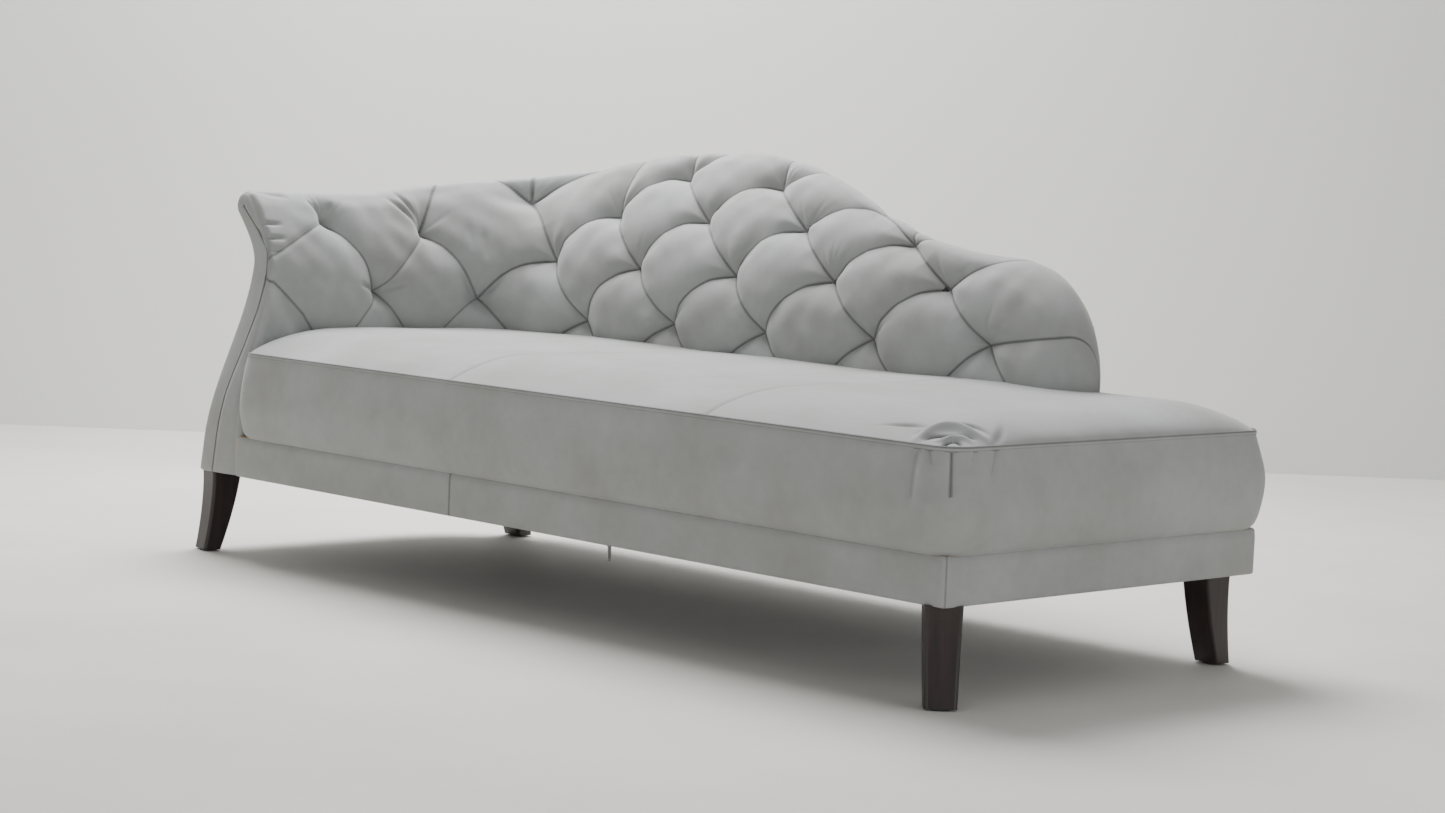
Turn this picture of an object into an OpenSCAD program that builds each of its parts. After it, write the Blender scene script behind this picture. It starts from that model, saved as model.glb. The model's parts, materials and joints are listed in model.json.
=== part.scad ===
// Daybed: a long padded seat on four swept legs, with one flared padded arm
// at the head end that turns the corner into a wave-topped padded back.
// Millimetres, Z up, floor at zero, foot end towards +X, back towards +Y.

/* [Seat and base] */
// Length of the base from the inside face of the arm to the foot end
seat_length = 1883; // [1500:1:2400]
// Depth of the base from front face to rear face
seat_depth = 784; // [700:1:980]
// Height of the underside of the base frame above the floor
base_bottom = 160; // [130:1:220]
// Height of the covered band round the base
band_height = 77; // [70:1:110]
// Height of the cushion wall from the band to the raised seam
boxing_height = 168; // [120:1:200]
// Rise of the middle of the seat above the raised seam
seat_crown = 38; // [20:1:55]
// Overhang of the cushion beyond the band
seat_bulge = 8; // [2:1:14]
// Radius of the cushion corners at the foot end
cushion_corner = 42; // [20:1:70]
// Place of the first cross seam from the head end, as a share of the length
first_seam_share = 0.354; // [0.28:0.01:0.40]
// Place of the second cross seam from the head end, as a share of the length
second_seam_share = 0.711; // [0.62:0.01:0.78]

/* [Arm and back] */
// Reach of the foot of the back behind its padded face
back_foot_reach = 147; // [120:1:180]
// Length of the back from the inside face of the arm
back_length = 1613; // [1300:1:1750]
// Radius of the inside corner where the arm turns into the back
corner_radius = 150; // [100:1:220]
// Height of the top of the arm
arm_height = 716; // [660:1:800]
// Height of the top of the back at its highest place
peak_height = 830; // [760:1:930]
// Height of the low stretch of the back before it drops to the seat
shoulder_height = 668; // [620:1:740]
// Height at which the padding starts to lean outwards
flare_start = 490; // [450:1:540]
// Outward lean of the padding at the top of the arm
arm_flare = 92; // [50:1:130]
// Radius of the rolled top edge
roll_radius = 25; // [18:1:32]
// Height of the narrowest place of the arm
waist_height = 575; // [520:1:620]
// Reach of the bottom of the arm beyond the seat
arm_foot_reach = 129; // [110:1:160]
// Reach of the outside of the arm beyond the seat at the waist
arm_waist_reach = 64; // [58:1:90]
// Reach of the outside of the back beyond the seat at the waist
back_waist_reach = 84; // [76:1:110]
// Lean of the front edge of the arm
arm_lean = 76; // [30:1:110]

/* [Padding and covers] */
// Thickness of every fabric cover
cover = 3; // [2.5:0.1:4]
// Thickness of the wadding round the seat foam
wadding = 8; // [4:1:14]
// Thickness of the arm and back padding at seat level
pad_low = 42; // [34:1:46]
// Thickness of the arm and back padding at the rolled edge
pad_high = 12; // [8:1:16]
// Thickness of the hessian sheets
hessian = 2.5; // [2:0.1:3.5]
// Air gap left between neighbouring layers
layer_gap = 0.5; // [0.3:0.1:1]

/* [Timber frame] */
// Thickness of the front and foot rails
rail = 28; // [22:1:34]
// Thickness of the head and rear rails, which carry the ribs
stout_rail = 45; // [38:1:52]
// Side of the corner blocks above the legs
block = 70; // [64:1:80]
// Thickness of the plywood ribs
rib = 20; // [15:1:25]
// Number of ribs in the back
back_ribs_n = 6; // [4:1:8]
// Number of elastic bands under the seat
bands_n = 13; // [8:1:16]

/* [Legs] */
// Side of each leg where it meets the base
leg_top = 60; // [48:1:64]
// Width of each leg at the floor
leg_foot_width = 52; // [36:1:56]
// Depth of each leg at the floor
leg_foot_depth = 36; // [28:1:44]
// Sweep of each foot away from its bolt
leg_sweep = 26; // [0:1:40]
// Rounding of the long edges of the legs
leg_rounding = 6; // [3:1:10]
// Thickness of the glide under each leg
glide = 3; // [2:0.5:5]
// Turn of the front left leg on its bolt, in degrees
front_left_turn = -12; // [-30:1:30]
// Turn of the front right leg on its bolt, in degrees
front_right_turn = 48; // [0:1:60]
// Turn of the rear right leg on its bolt, in degrees
rear_right_turn = -5; // [-30:1:30]

/* [Zip] */
// Length of the zip under the seat
zip_length = 900; // [300:10:1100]
// Width of the zip pull
pull_width = 7; // [5:0.5:8]
// Length of the zip pull
pull_length = 32; // [20:1:40]

/* [Hidden] */

// Levels.
band_top = base_bottom + band_height;
cloth_over_rails = 3;
foam_level = band_top + layer_gap;
cloth_level = foam_level - hessian;
rail_top = cloth_level - cloth_over_rails;
rail_height = rail_top - base_bottom;
seam_level = band_top + boxing_height;
pad_bottom = foam_level;

// Plan dimensions measured from the head end and the front face.
back_setback = seat_depth - back_foot_reach;
arm_run = back_setback - corner_radius;
corner_run = corner_radius * PI / 2;
flare_rate = arm_flare / pow(arm_height - flare_start, 2);
rail_fit = cover + 5;
head_face = lower_reach(arm_waist_reach, arm_foot_reach, rail_top) - rail_fit;
rear_face = lower_reach(back_waist_reach, back_foot_reach, rail_top) - rail_fit;
first_seam = seat_length * first_seam_share;
second_seam = seat_length * second_seam_share;
base_seam = first_seam + 11;

// Places along the back where the top edge changes, measured from the head end.
peak_from = corner_radius + (back_length - corner_radius) * 0.225;
peak_to = corner_radius + (back_length - corner_radius) * 0.287;
shoulder_at = corner_radius + (back_length - corner_radius) * 0.834;

// The middle of the whole object, which stands over the origin.
reach_back = back_setback + flare(peak_height - roll_radius) + 2 * roll_radius;
middle_x = (seat_length + seat_bulge - arm_foot_reach) / 2;
middle_y = (reach_back - seat_bulge) / 2;

// Legs: bolt positions from the head end and the front face.
leg_inset = 35;
front_left_bolt = [-head_face + 17, leg_inset];
front_right_bolt = [seat_length - cover - 32, leg_inset];
rear_right_bolt = [seat_length - cover - block + 14, seat_depth - cover - block + 14];
rear_left_bolt = on_corner(57, corner_radius + head_face - 14);

bolt_d = 8;
bolt_up = 50;
bolt_down = 40;
nut_d = 18;
nut_t = 3;
screw_d = 5;
screw_head_d = 10;
screw_head_t = 3;

// Zip, seen as a chain running along X under the dust cover.
dust_t = 1.5;
zip_y = rail + cover + 16;
zip_middle = seat_length * 0.565;
zip_slot = 16;
tape_t = 0.6;
tape_width = 14;
coil_r = 1.1;
coil_y = 2.4;
coil_z = base_bottom - dust_t - tape_t - coil_r;
slide_gap = 0.4;
slider_length = 13;
slider_width = 12;
slider_plate = 1.1;
pin_d = 1.8;
pin_z = coil_z - coil_r - slide_gap - slider_plate - 3.3;
pull_t = 1.6;

timber = "#c9a26b";
plywood = "#d8b98a";
cloth = "#c9cac8";
foam_colour = "#e8dcae";
jute = "#b39a6b";
steel = "#9a9da1";
leg_wood = "#2b1d16";
black = "#1c1c1d";

// ---------------------------------------------------------------- shape of the padding

function clamp01(t) = min(1, max(0, t));
function ease(t) = (1 - cos(180 * clamp01(t))) / 2;
function flare(z) = flare_rate * pow(max(0, z - flare_start), 2);

// Point at an angle round the inside corner, measured from the arm side.
function on_corner(angle, r) = [
    corner_radius - r * cos(angle),
    arm_run + r * sin(angle)
];

// Height of the rolled edge at a distance along the path from the arm front.
function crest(u) =
    let (x = u - arm_run - corner_run + corner_radius)
    let (rise_from = arm_run * 0.62)
    let (rise_to = arm_run + corner_run + peak_from - corner_radius)
    x < peak_to
        ? arm_height + (peak_height - arm_height) * ease((u - rise_from) / (rise_to - rise_from))
        : x < shoulder_at
            ? peak_height - (peak_height - shoulder_height)
                * ease((x - peak_to) / (shoulder_at - peak_to))
            : seam_level + 30 + (shoulder_height - seam_level - 30)
                * sqrt(max(0, 1 - pow((x - shoulder_at) / (back_length - shoulder_at), 2)));

function lip(u) = crest(u) - roll_radius;
function round_corner(u) = ease((u - arm_run) / corner_run);
function foot_reach(u) = arm_foot_reach + (back_foot_reach - arm_foot_reach) * round_corner(u);
function waist_reach(u) =
    arm_waist_reach + (back_waist_reach - arm_waist_reach) * round_corner(u);
function lip_reach(u) = max(flare(lip(u)) + 2 * roll_radius, waist_reach(u));

// Outside face below the waist: a curve that sweeps out to the foot.
function lower_reach(waist, foot, z) =
    let (t = (waist_height - z) / (waist_height - base_bottom))
    waist + (foot - waist) * t * t * (2 - t);

// Outside face: from the foot in to the waist, then out again to the lip.
function outside(u, z) = z < waist_height
    ? lower_reach(waist_reach(u), foot_reach(u), z)
    : let (t = clamp01((z - waist_height) / max(1, lip(u) - waist_height)))
        waist_reach(u) + (lip_reach(u) - waist_reach(u)) * pow(t, 1.5);

// Back face of the padding, where the hessian lies.
function pad_back(u, z) = flare(z) + pad_low
    + (pad_high - pad_low) * clamp01((z - pad_bottom) / (lip(u) - pad_bottom));

// Lean of the front edge of the arm.
function front_edge(z) =
    let (t = clamp01((z - rail_top) / (flare_start + 130 - rail_top)))
    arm_lean * t * t * (3 - 2 * t);

// From distance along the path, outward reach and height to a point.
function place(u, reach, z) = u < arm_run
    ? [-reach, front_edge(z) + u * (1 - front_edge(z) / arm_run), z]
    : u < arm_run + corner_run
        ? concat(on_corner((u - arm_run) / corner_run * 90, corner_radius + reach), z)
        : [corner_radius + u - arm_run - corner_run, back_setback + reach, z];

// Stations along the path.
arm_stations = [for (i = [0:3]) cover + (arm_run - cover) * i / 3];
corner_steps = 8;
corner_stations = [for (i = [1:corner_steps]) arm_run + corner_run * i / corner_steps];
back_start = arm_run + corner_run - corner_radius;
back_stations = [
    for (i = [1:11]) back_start + corner_radius + (shoulder_at - corner_radius) * i / 11
];
end_stations = [
    for (a = [20:16:84])
        back_start + shoulder_at + (back_length - cover - shoulder_at) * sin(a) / sin(84)
];
mid_corner = arm_run + corner_run / 2;
arm_side = concat(arm_stations, [for (u = corner_stations) if (u < mid_corner) u], mid_corner);
back_side = concat(
    mid_corner,
    [for (u = corner_stations) if (u > mid_corner) u],
    back_stations,
    end_stations
);

front_steps = 12;
roll_steps = 5;
outside_steps = 12;

function front_heights(u) = [
    for (k = [0:front_steps]) pad_bottom + (lip(u) - pad_bottom) * k / front_steps
];

// Line up the front and over the rolled edge, set in by a depth.
function face_line(u, depth) = concat(
    [for (z = front_heights(u)) [flare(z) + depth, z]],
    let (half = (lip_reach_at(u) - flare(lip(u))) / 2)
    [for (k = [1:roll_steps])
        [
            flare(lip(u)) + half - (half - depth) * cos(180 * k / roll_steps),
            lip(u) + (roll_radius - depth) * sin(180 * k / roll_steps)
        ]
    ]
);
function lip_reach_at(u) = outside(u, lip(u));

// Line up the back of the padding and straight across under the roll.
function back_line(u, depth) = concat(
    [for (z = front_heights(u)) [pad_back(u, z) - depth, min(z, lip(u)) + depth]],
    [for (k = [1:roll_steps])
        [
            pad_back(u, lip(u)) + (lip_reach_at(u) - cover - layer_gap - pad_back(u, lip(u)))
                * k / roll_steps,
            lip(u) + depth
        ]
    ]
);

function hessian_line(u, depth) = [
    for (z = front_heights(u)) [pad_back(u, z) + depth, z]
];

function outside_line(u, depth) = [
    for (k = [0:outside_steps])
        let (z = base_bottom + (lip(u) - layer_gap - base_bottom) * k / outside_steps)
        [outside(u, z) - depth, z]
];

function rail_line(u, depth) = [
    for (drop = [20, layer_gap]) [depth, lip(u) - drop]
];

// Closed solid between two lines that run along the same stations.
module strip(stations, near, far) {
    rows = len(stations);
    n = len(near[0]);
    points = [
        for (i = [0:rows - 1])
            for (line = [near[i], far[i]])
                for (p = line)
                    place(stations[i], p[0], p[1])
    ];
    function at(i, side, k) = (i * 2 + side) * n + k;
    // Both sides are split along the same diagonal, so layers stay parallel.
    function quad(a, b, c, d) = [[a, b, c], [a, c, d]];
    function turned(a, b, c, d) = [[c, b, a], [d, c, a]];
    walls = [
        for (i = [0:rows - 2])
            for (k = [0:n - 2])
                for (side = [0, 1])
                    let (a = at(i, side, k), b = at(i + 1, side, k))
                    let (c = at(i + 1, side, k + 1), d = at(i, side, k + 1))
                    each side == 0 ? turned(a, b, c, d) : quad(a, b, c, d)
    ];
    edges = [
        for (i = [0:rows - 2])
            for (k = [0, n - 1])
                let (a = at(i, 0, k), b = at(i + 1, 0, k))
                let (c = at(i + 1, 1, k), d = at(i, 1, k))
                each k == 0 ? quad(a, b, c, d) : quad(d, c, b, a)
    ];
    ends = [
        for (i = [0, rows - 1])
            for (k = [0:n - 2])
                let (a = at(i, 0, k), b = at(i, 0, k + 1))
                let (c = at(i, 1, k + 1), d = at(i, 1, k))
                each i == 0 ? quad(d, c, b, a) : quad(a, b, c, d)
    ];
    from_head() polyhedron(points = points, faces = concat(walls, edges, ends));
}

// Moves a shape measured from the head end and front face to its place over the origin.
module from_head() {
    translate([-middle_x, -middle_y, 0]) children();
}

module slab(from, to) {
    translate(from) cube(to - from);
}

// Removes everything outside a rounded corner whose circle stands at a given centre.
module corner_cut(centre, r, way) {
    translate(centre)
        difference() {
            translate([way[0] > 0 ? 0 : -r - 1, way[1] > 0 ? 0 : -r - 1])
                square(r + 1);
            circle(r, $fn = 96);
        }
}

// ---------------------------------------------------------------- base frame

module bolt_holes() {
    for (spot = [front_left_bolt, front_right_bolt, rear_right_bolt, rear_left_bolt])
        translate([spot[0], spot[1], base_bottom - 1])
            cylinder(d = bolt_d, h = bolt_up + 1, $fn = 48);
}

module nut_pockets() {
    for (spot = [front_left_bolt, front_right_bolt, rear_right_bolt, rear_left_bolt])
        translate([spot[0], spot[1], base_bottom - 1])
            cylinder(d = nut_d, h = nut_t + 1, $fn = 48);
}

// Screws through the blocks into the rails beside them.
module block_screw_set(d, head_d) {
    for (z = [base_bottom + 20, base_bottom + 50]) {
        for (spot = [[block - head_face, 1], [seat_length - cover - block, -1]])
            translate([spot[0] - spot[1] * 20, cover + rail / 2, z])
                rotate([0, 90 * spot[1], 0]) {
                    cylinder(d = d, h = 60, $fn = 32);
                    cylinder(d = head_d, h = screw_head_t, $fn = 32);
                }
        for (spot = [[cover + block, 1], [seat_depth - cover - block, -1]])
            translate([seat_length - cover - rail / 2, spot[0] - spot[1] * 20, z])
                rotate([-90 * spot[1], 0, 0]) {
                    cylinder(d = d, h = 60, $fn = 32);
                    cylinder(d = head_d, h = screw_head_t, $fn = 32);
                }
    }
}

// Middles of the ribs, as angle round the corner or distance along arm and back.
rib_off_corner = 45;
arm_rib_places = [
    arm_lean + rib,
    (arm_lean + rib + arm_run - rib_off_corner) / 2,
    arm_run - rib_off_corner
];
back_rib_from = corner_radius + rib_off_corner + rib;
back_rib_to = back_length - 71;
back_rib_places = [
    for (i = [0:back_ribs_n - 1])
        back_rib_from + (back_rib_to - back_rib_from) * i / (back_ribs_n - 1)
];
arm_screw_reach = head_face - stout_rail / 2;
rear_screw_reach = rear_face - stout_rail / 2;

module rib_screw_set(d, head_d) {
    spots = concat(
        [for (y = arm_rib_places) [-arm_screw_reach, y]],
        [for (x = back_rib_places) [x, back_setback + rear_screw_reach]],
        [on_corner(45, corner_radius + arm_screw_reach)]
    );
    for (spot = spots)
        translate([spot[0], spot[1], base_bottom]) {
            cylinder(d = d, h = rail_height + 60, $fn = 32);
            cylinder(d = head_d, h = screw_head_t, $fn = 32);
        }
}

module front_rail() {
    color(timber) from_head()
        difference() {
            slab(
                [block - head_face, cover, base_bottom],
                [seat_length - cover - block, cover + rail, rail_top]
            );
            block_screw_set(screw_d, screw_d);
        }
}

module rear_rail() {
    color(timber) from_head()
        difference() {
            slab(
                [corner_radius, back_setback + rear_face - stout_rail, base_bottom],
                [seat_length - cover - block, back_setback + rear_face, rail_top]
            );
            rib_screw_set(screw_d, screw_head_d);
        }
}

module head_rail() {
    color(timber) from_head()
        difference() {
            slab(
                [-head_face, cover + block, base_bottom],
                [stout_rail - head_face, arm_run, rail_top]
            );
            rib_screw_set(screw_d, screw_head_d);
        }
}

module foot_rail() {
    color(timber) from_head()
        difference() {
            slab(
                [seat_length - cover - rail, cover + block, base_bottom],
                [seat_length - cover, seat_depth - cover - block, rail_top]
            );
            block_screw_set(screw_d, screw_d);
        }
}

// Bent rail that carries the base round the rear head corner.
module corner_rail() {
    color(timber) from_head()
        difference() {
            translate([corner_radius, arm_run, base_bottom])
                rotate([0, 0, 90])
                    rotate_extrude(angle = 90, $fn = 180)
                        translate([corner_radius + head_face - block, 0])
                            square([block, rail_height]);
            rib_screw_set(screw_d, screw_head_d);
            bolt_holes();
            nut_pockets();
        }
}

cross_places = [first_seam, second_seam];
cross_bottom = base_bottom + 18;
cross_height = 32;

module cross_rails() {
    color(timber) from_head()
        for (x = cross_places)
            slab(
                [x - rail / 2, cover + rail, cross_bottom],
                [
                    x + rail / 2,
                    back_setback + rear_face - stout_rail,
                    cross_bottom + cross_height
                ]
            );
}

// Inner rail, lying on the cross rails, that holds the rear ends of the elastic bands.
module spring_rail() {
    color(timber) from_head()
        slab(
            [60, back_setback - 30, cross_bottom + cross_height],
            [seat_length - cover - rail, back_setback - 2, rail_top]
        );
}

module leg_blocks() {
    color(timber) from_head()
        difference() {
            union() {
                slab([-head_face, cover, base_bottom], [block - head_face, cover + block, rail_top]);
                for (y = [cover, seat_depth - cover - block])
                    translate([0, 0, base_bottom])
                        linear_extrude(height = rail_height)
                            intersection() {
                                translate([seat_length - cover - block, y]) square(block);
                                base_plan(cover);
                            }
            }
            block_screw_set(screw_d, screw_head_d);
            bolt_holes();
            nut_pockets();
        }
}

module block_screws() {
    color(steel) from_head() block_screw_set(screw_d, screw_head_d);
}

module rib_screws() {
    color(steel) from_head() rib_screw_set(screw_d, screw_head_d);
}

band_from = 90;
band_to = seat_length - cover - rail - 50;
band_pitch = (band_to - band_from) / (bands_n - 1);
elastic_width = 60;
elastic_t = 1.5;
staple_t = 0.8;

module elastic_bands() {
    color(black) from_head()
        for (i = [0:bands_n - 1])
            translate([band_from + i * band_pitch - elastic_width / 2, cover + 4, rail_top])
                cube([elastic_width, back_setback - 12 - cover, elastic_t]);
}

module band_staples() {
    color(steel) from_head()
        for (i = [0:bands_n - 1])
            for (side = [-18, 0, 18])
                for (y = [cover + 10, back_setback - 22])
                    translate([
                        band_from + i * band_pitch + side - 6,
                        y,
                        rail_top + elastic_t
                    ])
                        cube([12, 1.2, staple_t]);
}

// ---------------------------------------------------------------- seat

// Inside corner of the cushion, cut with the same chords as the padding it lies against.
module chord_cut(r) {
    turns = concat(0, [for (u = corner_stations) (u - arm_run) / corner_run * 90]);
    polygon(concat([[-1, 2 * back_setback]], [[-1, arm_run]], [for (a = turns) on_corner(a, r)],
        [[corner_radius, 2 * back_setback]]));
}

// Plan of the cushion, set in all round by a distance.
module seat_plan(inset) {
    right = seat_length + seat_bulge - inset;
    front = -seat_bulge + inset;
    rear = seat_depth + seat_bulge - inset;
    along_back = back_setback - layer_gap - inset;
    beyond_back = back_length + layer_gap + inset;
    head = layer_gap + inset;
    r = cushion_corner - inset;
    big_r = corner_radius - layer_gap - inset;
    difference() {
        union() {
            translate([head, front]) square([right - head, along_back - front]);
            translate([beyond_back, front]) square([right - beyond_back, rear - front]);
        }
        corner_cut([right - r, front + r], r, [1, -1]);
        corner_cut([right - r, rear - r], r, [1, 1]);
        chord_cut(big_r);
    }
}

// Cushion with a crowned top, set in all round by a distance.
module crowned(inset, bottom) {
    half_depth = seat_depth / 2 + seat_bulge;
    crown_r = (half_depth * half_depth + seat_crown * seat_crown) / (2 * seat_crown);
    intersection() {
        translate([0, 0, bottom])
            linear_extrude(height = seam_level + seat_crown + 10 - bottom)
                seat_plan(inset);
        translate([-10, seat_depth / 2, seam_level + seat_crown - crown_r])
            rotate([0, 90, 0])
                cylinder(r = crown_r - inset, h = seat_length + 40, $fn = 180);
    }
}

module seat_hessian() {
    color(jute) from_head()
        translate([0, 0, cloth_level])
            linear_extrude(height = hessian)
                seat_plan(seat_bulge + cover);
}

module seat_foam() {
    color(foam_colour) from_head()
        crowned(cover + wadding, foam_level + wadding);
}

module seat_wadding() {
    color("white") from_head()
        difference() {
            crowned(cover, foam_level);
            crowned(cover + wadding, foam_level + wadding);
        }
}

module seat_cover() {
    difference() {
        crowned(0, band_top);
        crowned(cover, band_top - 1);
        // Ring groove that the raised seam fills.
        translate([0, 0, seam_level - welt_height])
            linear_extrude(height = welt_height)
                difference() {
                    seat_plan(-1);
                    seat_plan(welt_depth);
                }
    }
}

welt_height = 11;
welt_depth = 1.2;

module seat_cover_piece(from, to) {
    color(cloth) from_head()
        intersection() {
            seat_cover();
            slab([from, -50, 0], [to, seat_depth + 50, seam_level + seat_crown + 20]);
        }
}

module seat_cover_head() {
    seat_cover_piece(-1, first_seam);
}

module seat_cover_middle() {
    seat_cover_piece(first_seam, second_seam);
}

module seat_cover_foot() {
    seat_cover_piece(second_seam, seat_length + 60);
}

// Raised double-stitched seam round the top edge.
module seat_welt() {
    color(cloth) from_head()
        translate([0, 0, seam_level - welt_height])
            linear_extrude(height = welt_height)
                difference() {
                    seat_plan(0);
                    seat_plan(welt_depth);
                }
}

// Plan of the covered base to the right of the arm.
module base_plan(inset) {
    right = seat_length - inset;
    front = inset;
    rear = seat_depth - inset;
    r = 14 - inset;
    difference() {
        translate([0, front]) square([right, rear - front]);
        corner_cut([right - r, front + r], r, [1, -1]);
        corner_cut([right - r, rear - r], r, [1, 1]);
    }
}

// Straight stretch of the band along the front, up to the band's own cross seam.
module base_cover_head() {
    color(cloth) from_head()
        slab([layer_gap, 0, base_bottom], [base_seam, cover, band_top]);
}

// The rest of the band: front, foot end and the rear face beyond the back.
module base_cover_foot() {
    rear_from = back_length + layer_gap;
    color(cloth) from_head()
        translate([0, 0, base_bottom])
            linear_extrude(height = band_height)
                difference() {
                    base_plan(0);
                    base_plan(cover);
                    translate([-1, -1]) square([base_seam + 1, cover * 4]);
                    translate([-1, cover * 2]) square([rear_from + 1, seat_depth]);
                }
}

// ---------------------------------------------------------------- arm and back frame

rib_clearance = 2.4;

// Plywood rib in the plane of reach and height, standing on the rails.
module rib_shape(u) {
    steps = 9;
    bottom = rail_top;
    top = lip(u) - 22;
    inner = [
        for (k = [0:steps])
            let (z = bottom + (top - bottom) * k / steps)
            [pad_back(u, z) + hessian + rib_clearance, z]
    ];
    outer = [
        for (k = [steps:-1:0])
            let (z = bottom + (top - bottom) * k / steps)
            [outside(u, z) - cover - rib_clearance * 2, z]
    ];
    polygon(concat(inner, outer));
}

// Stands a rib across the path; local x is reach.
module rib_at(u) {
    translate([0, rib / 2, 0])
        rotate([90, 0, 0])
            linear_extrude(height = rib)
                rib_shape(u);
}

module arm_ribs() {
    color(plywood) from_head()
        difference() {
            for (y = arm_rib_places)
                translate([0, y, 0]) mirror([1, 0, 0]) rib_at(y);
            rib_screw_set(screw_d, screw_d);
        }
}

module corner_rib() {
    u = mid_corner;
    color(plywood) from_head()
        difference() {
            translate([corner_radius, arm_run, 0])
                rotate([0, 0, 135])
                    translate([corner_radius, 0, 0])
                        rib_at(u);
            rib_screw_set(screw_d, screw_d);
        }
}

module back_ribs() {
    color(plywood) from_head()
        difference() {
            for (x = back_rib_places)
                translate([x, back_setback, 0])
                    rotate([0, 0, 90])
                        rib_at(min(
                            back_start + x + rib * (x > peak_to ? 0.5 : -0.5),
                            back_start + back_length - 25
                        ));
            rib_screw_set(screw_d, screw_d);
        }
}

spacer_height = 40;
spacer_level = rail_top + 70;

module arm_spacers() {
    color(timber) from_head()
        for (i = [0:len(arm_rib_places) - 2])
            slab(
                [-arm_screw_reach, arm_rib_places[i] + rib / 2, spacer_level],
                [
                    stout_rail / 2 - arm_screw_reach - 1,
                    arm_rib_places[i + 1] - rib / 2,
                    spacer_level + spacer_height
                ]
            );
}

module back_spacers() {
    color(timber) from_head()
        for (i = [0:back_ribs_n - 2])
            slab(
                [
                    back_rib_places[i] + rib / 2,
                    back_setback + pad_low + hessian + 2,
                    spacer_level
                ],
                [
                    back_rib_places[i + 1] - rib / 2,
                    back_setback + pad_low + hessian + 24,
                    spacer_level + spacer_height
                ]
            );
}

module top_rail(stations) {
    color(plywood)
        strip(
            stations,
            [for (u = stations) rail_line(u, pad_back(u, lip(u)) + hessian + rib_clearance * 4)],
            [for (u = stations) rail_line(u, outside(u, lip(u) - 20) - cover - rib_clearance)]
        );
}

module arm_top_rail() {
    top_rail([for (u = arm_side) if (u > 12) u]);
}

module back_top_rail() {
    top_rail([for (u = back_side) if (u < back_start + back_length - 40) u]);
}

// ---------------------------------------------------------------- padding and covers

module hessian_sheet(stations) {
    color(jute)
        strip(
            stations,
            [for (u = stations) hessian_line(u, layer_gap / 2)],
            [for (u = stations) hessian_line(u, layer_gap / 2 + hessian)]
        );
}

module pad(stations) {
    color(foam_colour)
        strip(
            stations,
            [for (u = stations) face_line(u, cover + layer_gap)],
            [for (u = stations) back_line(u, layer_gap)]
        );
}

module inside_cover(stations) {
    color(cloth)
        strip(
            stations,
            [for (u = stations) face_line(u, 0)],
            [for (u = stations) face_line(u, cover)]
        );
}

module outside_cover(stations) {
    color(cloth)
        strip(
            stations,
            [for (u = stations) outside_line(u, cover)],
            [for (u = stations) outside_line(u, 0)]
        );
}

module arm_hessian() {
    hessian_sheet(arm_side);
}

module back_hessian() {
    hessian_sheet(back_side);
}

module arm_foam() {
    pad(arm_side);
}

module back_foam() {
    pad(back_side);
}

module inside_arm_cover() {
    inside_cover(arm_side);
}

module inside_back_cover() {
    inside_cover(back_side);
}

module outside_arm_cover() {
    outside_cover(arm_side);
}

module outside_back_cover() {
    outside_cover(back_side);
}

// Heights up a whole section: the foot, the top of the rails on both sides, then on to the lip.
function end_heights(u) = concat(
    [base_bottom, rail_top + layer_gap / 2],
    [
        for (k = [0:outside_steps])
            let (from = rail_top + layer_gap)
            from + (lip(u) - from) * k / outside_steps
    ]
);

// Cover over an end; beside the rails it starts at a given reach.
module end_plate(stations, reach_at_rails) {
    color(cloth)
        strip(
            stations,
            [
                for (u = stations)
                    [for (z = end_heights(u)) [z < rail_top + layer_gap ? reach_at_rails : flare(z), z]]
            ],
            [for (u = stations) [for (z = end_heights(u)) [outside(u, z), z]]]
        );
}

module arm_facing() {
    end_plate([0, cover - layer_gap], 0);
}

module back_end_cover() {
    end_plate(
        [back_start + back_length - cover + layer_gap, back_start + back_length],
        rear_face + layer_gap
    );
}

// Rows of tufts from top to bottom; every second row is shifted by half a pitch.
tuft_from = 200;
tuft_pitch = 268;
tuft_levels = [700, 597, 500];
toggle_d = 20;
toggle_t = 3;

module toggle_at(u, z) {
    slope = atan(
        2 * flare_rate * max(0, z - flare_start)
            + (pad_high - pad_low) / (lip(u) - pad_bottom)
    );
    reach = pad_back(u, z) + hessian + rib_clearance;
    bearing = u < arm_run ? 180 : u > arm_run + corner_run ? 90 : 180 - 90 * (u - arm_run) / corner_run;
    translate(place(u, reach, z))
        rotate([0, 0, bearing])
            rotate([0, 90 + slope, 0])
                cylinder(d = toggle_d, h = toggle_t, $fn = 32);
}

// Path distance moved just clear of the nearest rib, so that a toggle never lies on one.
ribs_along = concat(arm_rib_places, mid_corner, [for (x = back_rib_places) back_start + x]);
toggle_room = rib / 2 + toggle_d / 2 + 3;

function nearest_rib(u) =
    let (gaps = [for (r = ribs_along) abs(u - r)])
    ribs_along[search(min(gaps), gaps)[0]];
function clear_of_ribs(u) =
    let (r = nearest_rib(u))
    abs(u - r) >= toggle_room ? u : r + (u < r ? -toggle_room : toggle_room);

module tuft_toggles() {
    color(black) from_head()
        for (row = [0:len(tuft_levels) - 1])
            for (i = [0:7])
                let (u = clear_of_ribs(tuft_from + tuft_pitch * (i + ((row + 1) % 2) / 2)))
                if (u < back_start + back_length - 80 && tuft_levels[row] < lip(u) - 30)
                    toggle_at(u, tuft_levels[row]);
}

// ---------------------------------------------------------------- underside and zip

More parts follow.
